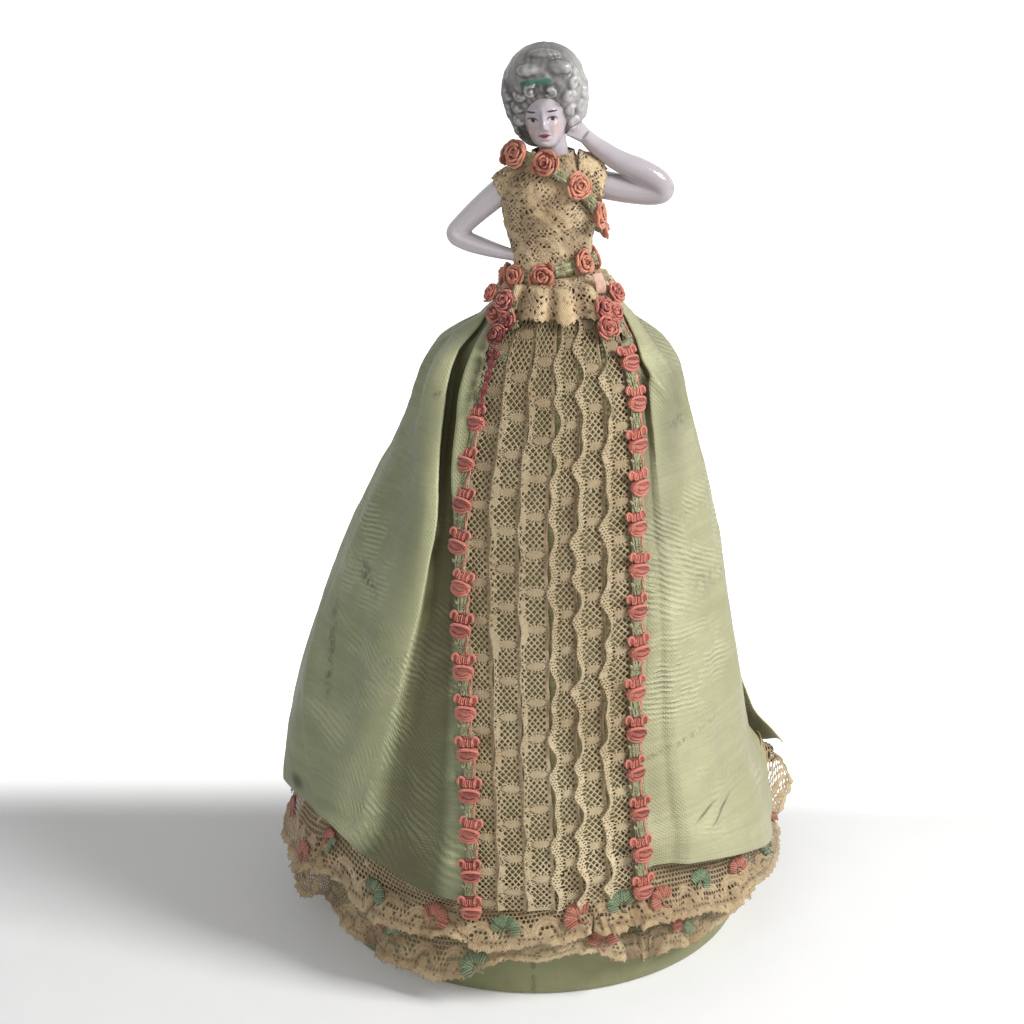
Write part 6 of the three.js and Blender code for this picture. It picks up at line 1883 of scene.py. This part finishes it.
def porcelain_finish():
    """Glazed porcelain with a painted face, grey hair and a green band."""
    f = Finish("painted_porcelain", Roughness=0.16, Coat_Weight=0.6, Coat_Roughness=0.06,
               Subsurface_Weight=0.12)
    f.shader.inputs["Subsurface Radius"].default_value = (0.002, 0.0015, 0.0015)
    f.shader.inputs["Subsurface Scale"].default_value = 1.0
    clouds = f.cloudy(f.place, 90, 4, 0.55)
    body = f.mix(f.band(clouds, 0.3, 0.7), (184, 175, 181), (198, 189, 194))
    node = f.node("ShaderNodeMapping", vector_type="TEXTURE")
    f.put(node.inputs["Vector"], f.place)
    node.inputs["Location"].default_value = (FACE_MIDDLE[0] * MM, 0, FACE_MIDDLE[1] * MM)
    node.inputs["Rotation"].default_value = (0, -FACE_ROLL, 0)
    node.inputs["Scale"].default_value = (MM, MM, MM)
    face = node.outputs[0]
    split = f.node("ShaderNodeSeparateXYZ")
    f.put(split.inputs[0], face)
    front = f.band(split.outputs["Y"], -5.5, -4.5, 1.0, 0.0)
    skin = f.times(front, f.band(f.value("hair"), 0.35, 0.6, 1.0, 0.0))
    # Painted light: the figure is lightened on the side at negative x, with the arm on the hip.
    pale = oval_of(f, -22, FIGURE_SEAT + 35, 22, 30, 0)
    body = f.tint(body, pale, 0.7, (222, 215, 219))
    # Painted shade on the raised arm, at positive x.
    right_arm_shade = oval_of(f, 36, FIGURE_SEAT + 50, 16, 14, 0, 0.6)
    body = f.tint(body, right_arm_shade, 0.5, (168, 160, 163))
    # Painted shade: the trunk under the bodice lace is turned brown, so that the holes of the lace look dark.
    colour = f.tint(body, f.value("shade_under_lace"), 0.85, (146, 116, 80))

    def paint(share, shade, strength):
        nonlocal colour
        colour = f.tint(colour, f.times(share, skin), strength, shade)

    def arch(middle, size, drop, turn=0.0):
        """A thin crescent: one oval with the same oval lower down taken out."""
        upper = f.spot(face, middle, size, turn, 0.14)
        lower = f.spot(face, (middle[0], middle[1] - drop), size, turn, 0.14)
        return f.times(upper, f.maths("SUBTRACT", 1.0, lower))
    for side, (eye_u, eye_w, brow_u, brow_w) in zip((-1, 1), EYES):
        paint(f.spot(face, (side * 4.2, -3.9), (2.3, 2.4), 0, 0.7), (206, 162, 136), 0.38)
        paint(f.spot(face, (eye_u, eye_w), (1.4, 0.6), side * 0.06, 0.3), (214, 208, 212), 0.8)
        paint(f.spot(face, (eye_u + 0.2, eye_w), (0.72, 0.68), 0, 0.3), (26, 22, 28), 1.0)
        paint(arch((eye_u, eye_w - 0.15), (1.75, 1.05), 0.5, side * 0.05), (34, 26, 32), 1.0)
        paint(arch((eye_u, eye_w - 0.1), (1.75, 1.5), 0.2, side * 0.05), (120, 96, 104), 0.5)
        paint(f.spot(face, (brow_u, brow_w), (1.7, 0.36), side * 0.04, 0.4), (44, 30, 38), 1.0)
        paint(f.spot(face, (side * 0.8, -5.72), (1.1, 0.42), side * 0.22, 0.3), (122, 18, 42), 1.0)
        paint(f.spot(face, (side * 0.62, -4.1), (0.24, 0.14), 0, 0.4), (170, 118, 114), 0.6)
    paint(f.spot(face, (0, -6.25), (1.1, 0.5), 0, 0.3), (126, 20, 44), 1.0)
    paint(f.spot(face, (0, -5.95), (2.1, 0.13), 0, 0.4), (96, 18, 36), 0.9)
    relief = f.band(f.value("relief"), -0.32, 0.4)
    blotches = f.cloudy(f.place, 130, 3, 0.5, 0.4)
    wash = f.plus(f.times(relief, 0.8), f.times(blotches, 0.75))
    grey = f.mix(f.band(wash, 0.5, 1.15), (84, 81, 80), (186, 184, 181))
    crown = oval_of(f, 3.5, FIGURE_SEAT + CHIN + 29.5, 11, 4.2, 0, 0.8)
    grey = f.tint(grey, crown, 0.6, (98, 95, 94))
    # Painted light: the hair is lightened on the right, the side towards the key lamp.
    right_side_light = oval_of(f, 16, FIGURE_SEAT + CHIN + 13, 6, 13, 0, 0.8)
    grey = f.tint(grey, right_side_light, 0.45, (216, 214, 211))
    colour = f.mix(f.band(f.value("hair"), 0.35, 0.65), colour, grey)
    green = f.mix(clouds, (22, 74, 56), (74, 128, 106))
    colour = f.mix(f.band(f.value("band"), 0.25, 0.75), colour, green)
    f.use("Base Color", colour)
    glaze = f.times(f.value("hair"), 0.2)
    f.use("Roughness", f.plus(f.band(clouds, 0.3, 0.7, 0.14, 0.22), glaze))
    f.use("Coat Weight", f.band(f.value("hair"), 0.0, 1.0, 0.6, 0.25))
    f.bump(f.cloudy(f.place, 220, 3, 0.5), 0.00012, 0.4)
    return f


porcelain()


# Cap sleeves of lace over the tops of both arms

def cap_sleeve(name, path, radii, cut, start, reach, puff, seed):
    """A short lace sleeve over the top of an arm, standing up over the shoulder by its puff."""
    smooth_path = catmull(from_waist(path), 8)
    distance = distances(smooth_path)
    girth = 34.0 + 3.6 * puff

    def at(t):
        return np.stack([np.interp(t, distance, column) for column in smooth_path.T], -1)

    def laid(u, v):
        share = np.clip(v / cut, 0, 1)
        t = start + share * reach
        tangent = unit(at(np.maximum(t, 0) + 0.5) - at(np.maximum(t, 0)))
        centre = at(t) + tangent * np.minimum(t, 0)[..., None]
        side = unit(np.cross(tangent, [0, -1.0, 0]))
        out = np.cross(side, tangent)
        turn = u / girth * (TURN - 0.02)
        rise = puff * (np.clip(1 - (share * 1.1) ** 2, 0, 1) ** 0.7)
        centre[..., 2] += rise
        frill = 0.25 * smooth(share, 0.6, 1) * np.sin(turn * 9 + 2 * noise(u, v, 8, seed))
        crumple = 0.6 * np.abs(noise(u, v, 4, seed + 1))
        radius = along(radii, t / distance[-1]) + 0.7 + crumple + frill + rise * 0.7
        return centre + (side * np.cos(turn)[..., None] + out * np.sin(turn)[..., None]) * radius[..., None]

    def field(u, v):
        edge = cut - 0.5 + 0.3 * np.cos(TURN * u / 4.25)
        border = 0.45 - np.abs(v - (cut - 1.6))
        return np.minimum(np.maximum(crochet(u, v, seed), border), edge - v)
    lace(name, TAN_COTTON, girth, cut, 0.5, field, laid,
         thickness=CROCHET_THICKNESS)


cap_sleeve("cap_sleeve_right_arm", HIP_ARM, HIP_RADII, 10.4, 0, 7.9, 0.6, 901)
cap_sleeve("cap_sleeve_left_arm", RAISED_ARM, RAISED_RADII, 11.0, -1.0, 10.0, 3.0, 911)


def ribbon_end():
    """The loose peach end of a ribbon, folded up beside the waist braid."""
    share = np.linspace(0, 1, 20)[:, None]
    across = np.linspace(-1.5, 1.5, 9)[None]
    place = -0.034 + 0.034 * share + 0 * across
    stand = 3.6 + 1.6 * np.sin(share * 2.4) + across * 0.3
    angle = 0.74 + (across + 0.8 * share) / 16
    points, faces, uv = thick_grid(bell(angle, place, stand), 0.3)
    piece("ribbon_end_peach", points, faces, PEACH, "ribbon", ("ribbon_end",), uv=uv,
          values={"tone": 0.7 + 0.3 * noise(uv[:, 0] * 100, uv[:, 1] * 100, 1.5, 921)})


ribbon_end()

# What the cloth hides keeps its solid and gets its own finish
for node, finish in (("bottom_cover", BASE_TAFFETA), ("base_board", CARD), ("base_pad", WADDING),
                     ("skirt_form", WADDING), ("stitch_front", SEWING), ("stitch_back", SEWING)):
    solid = bpy.data.objects[node]
    solid.data.materials.clear()
    solid.data.materials.append(finish.material)
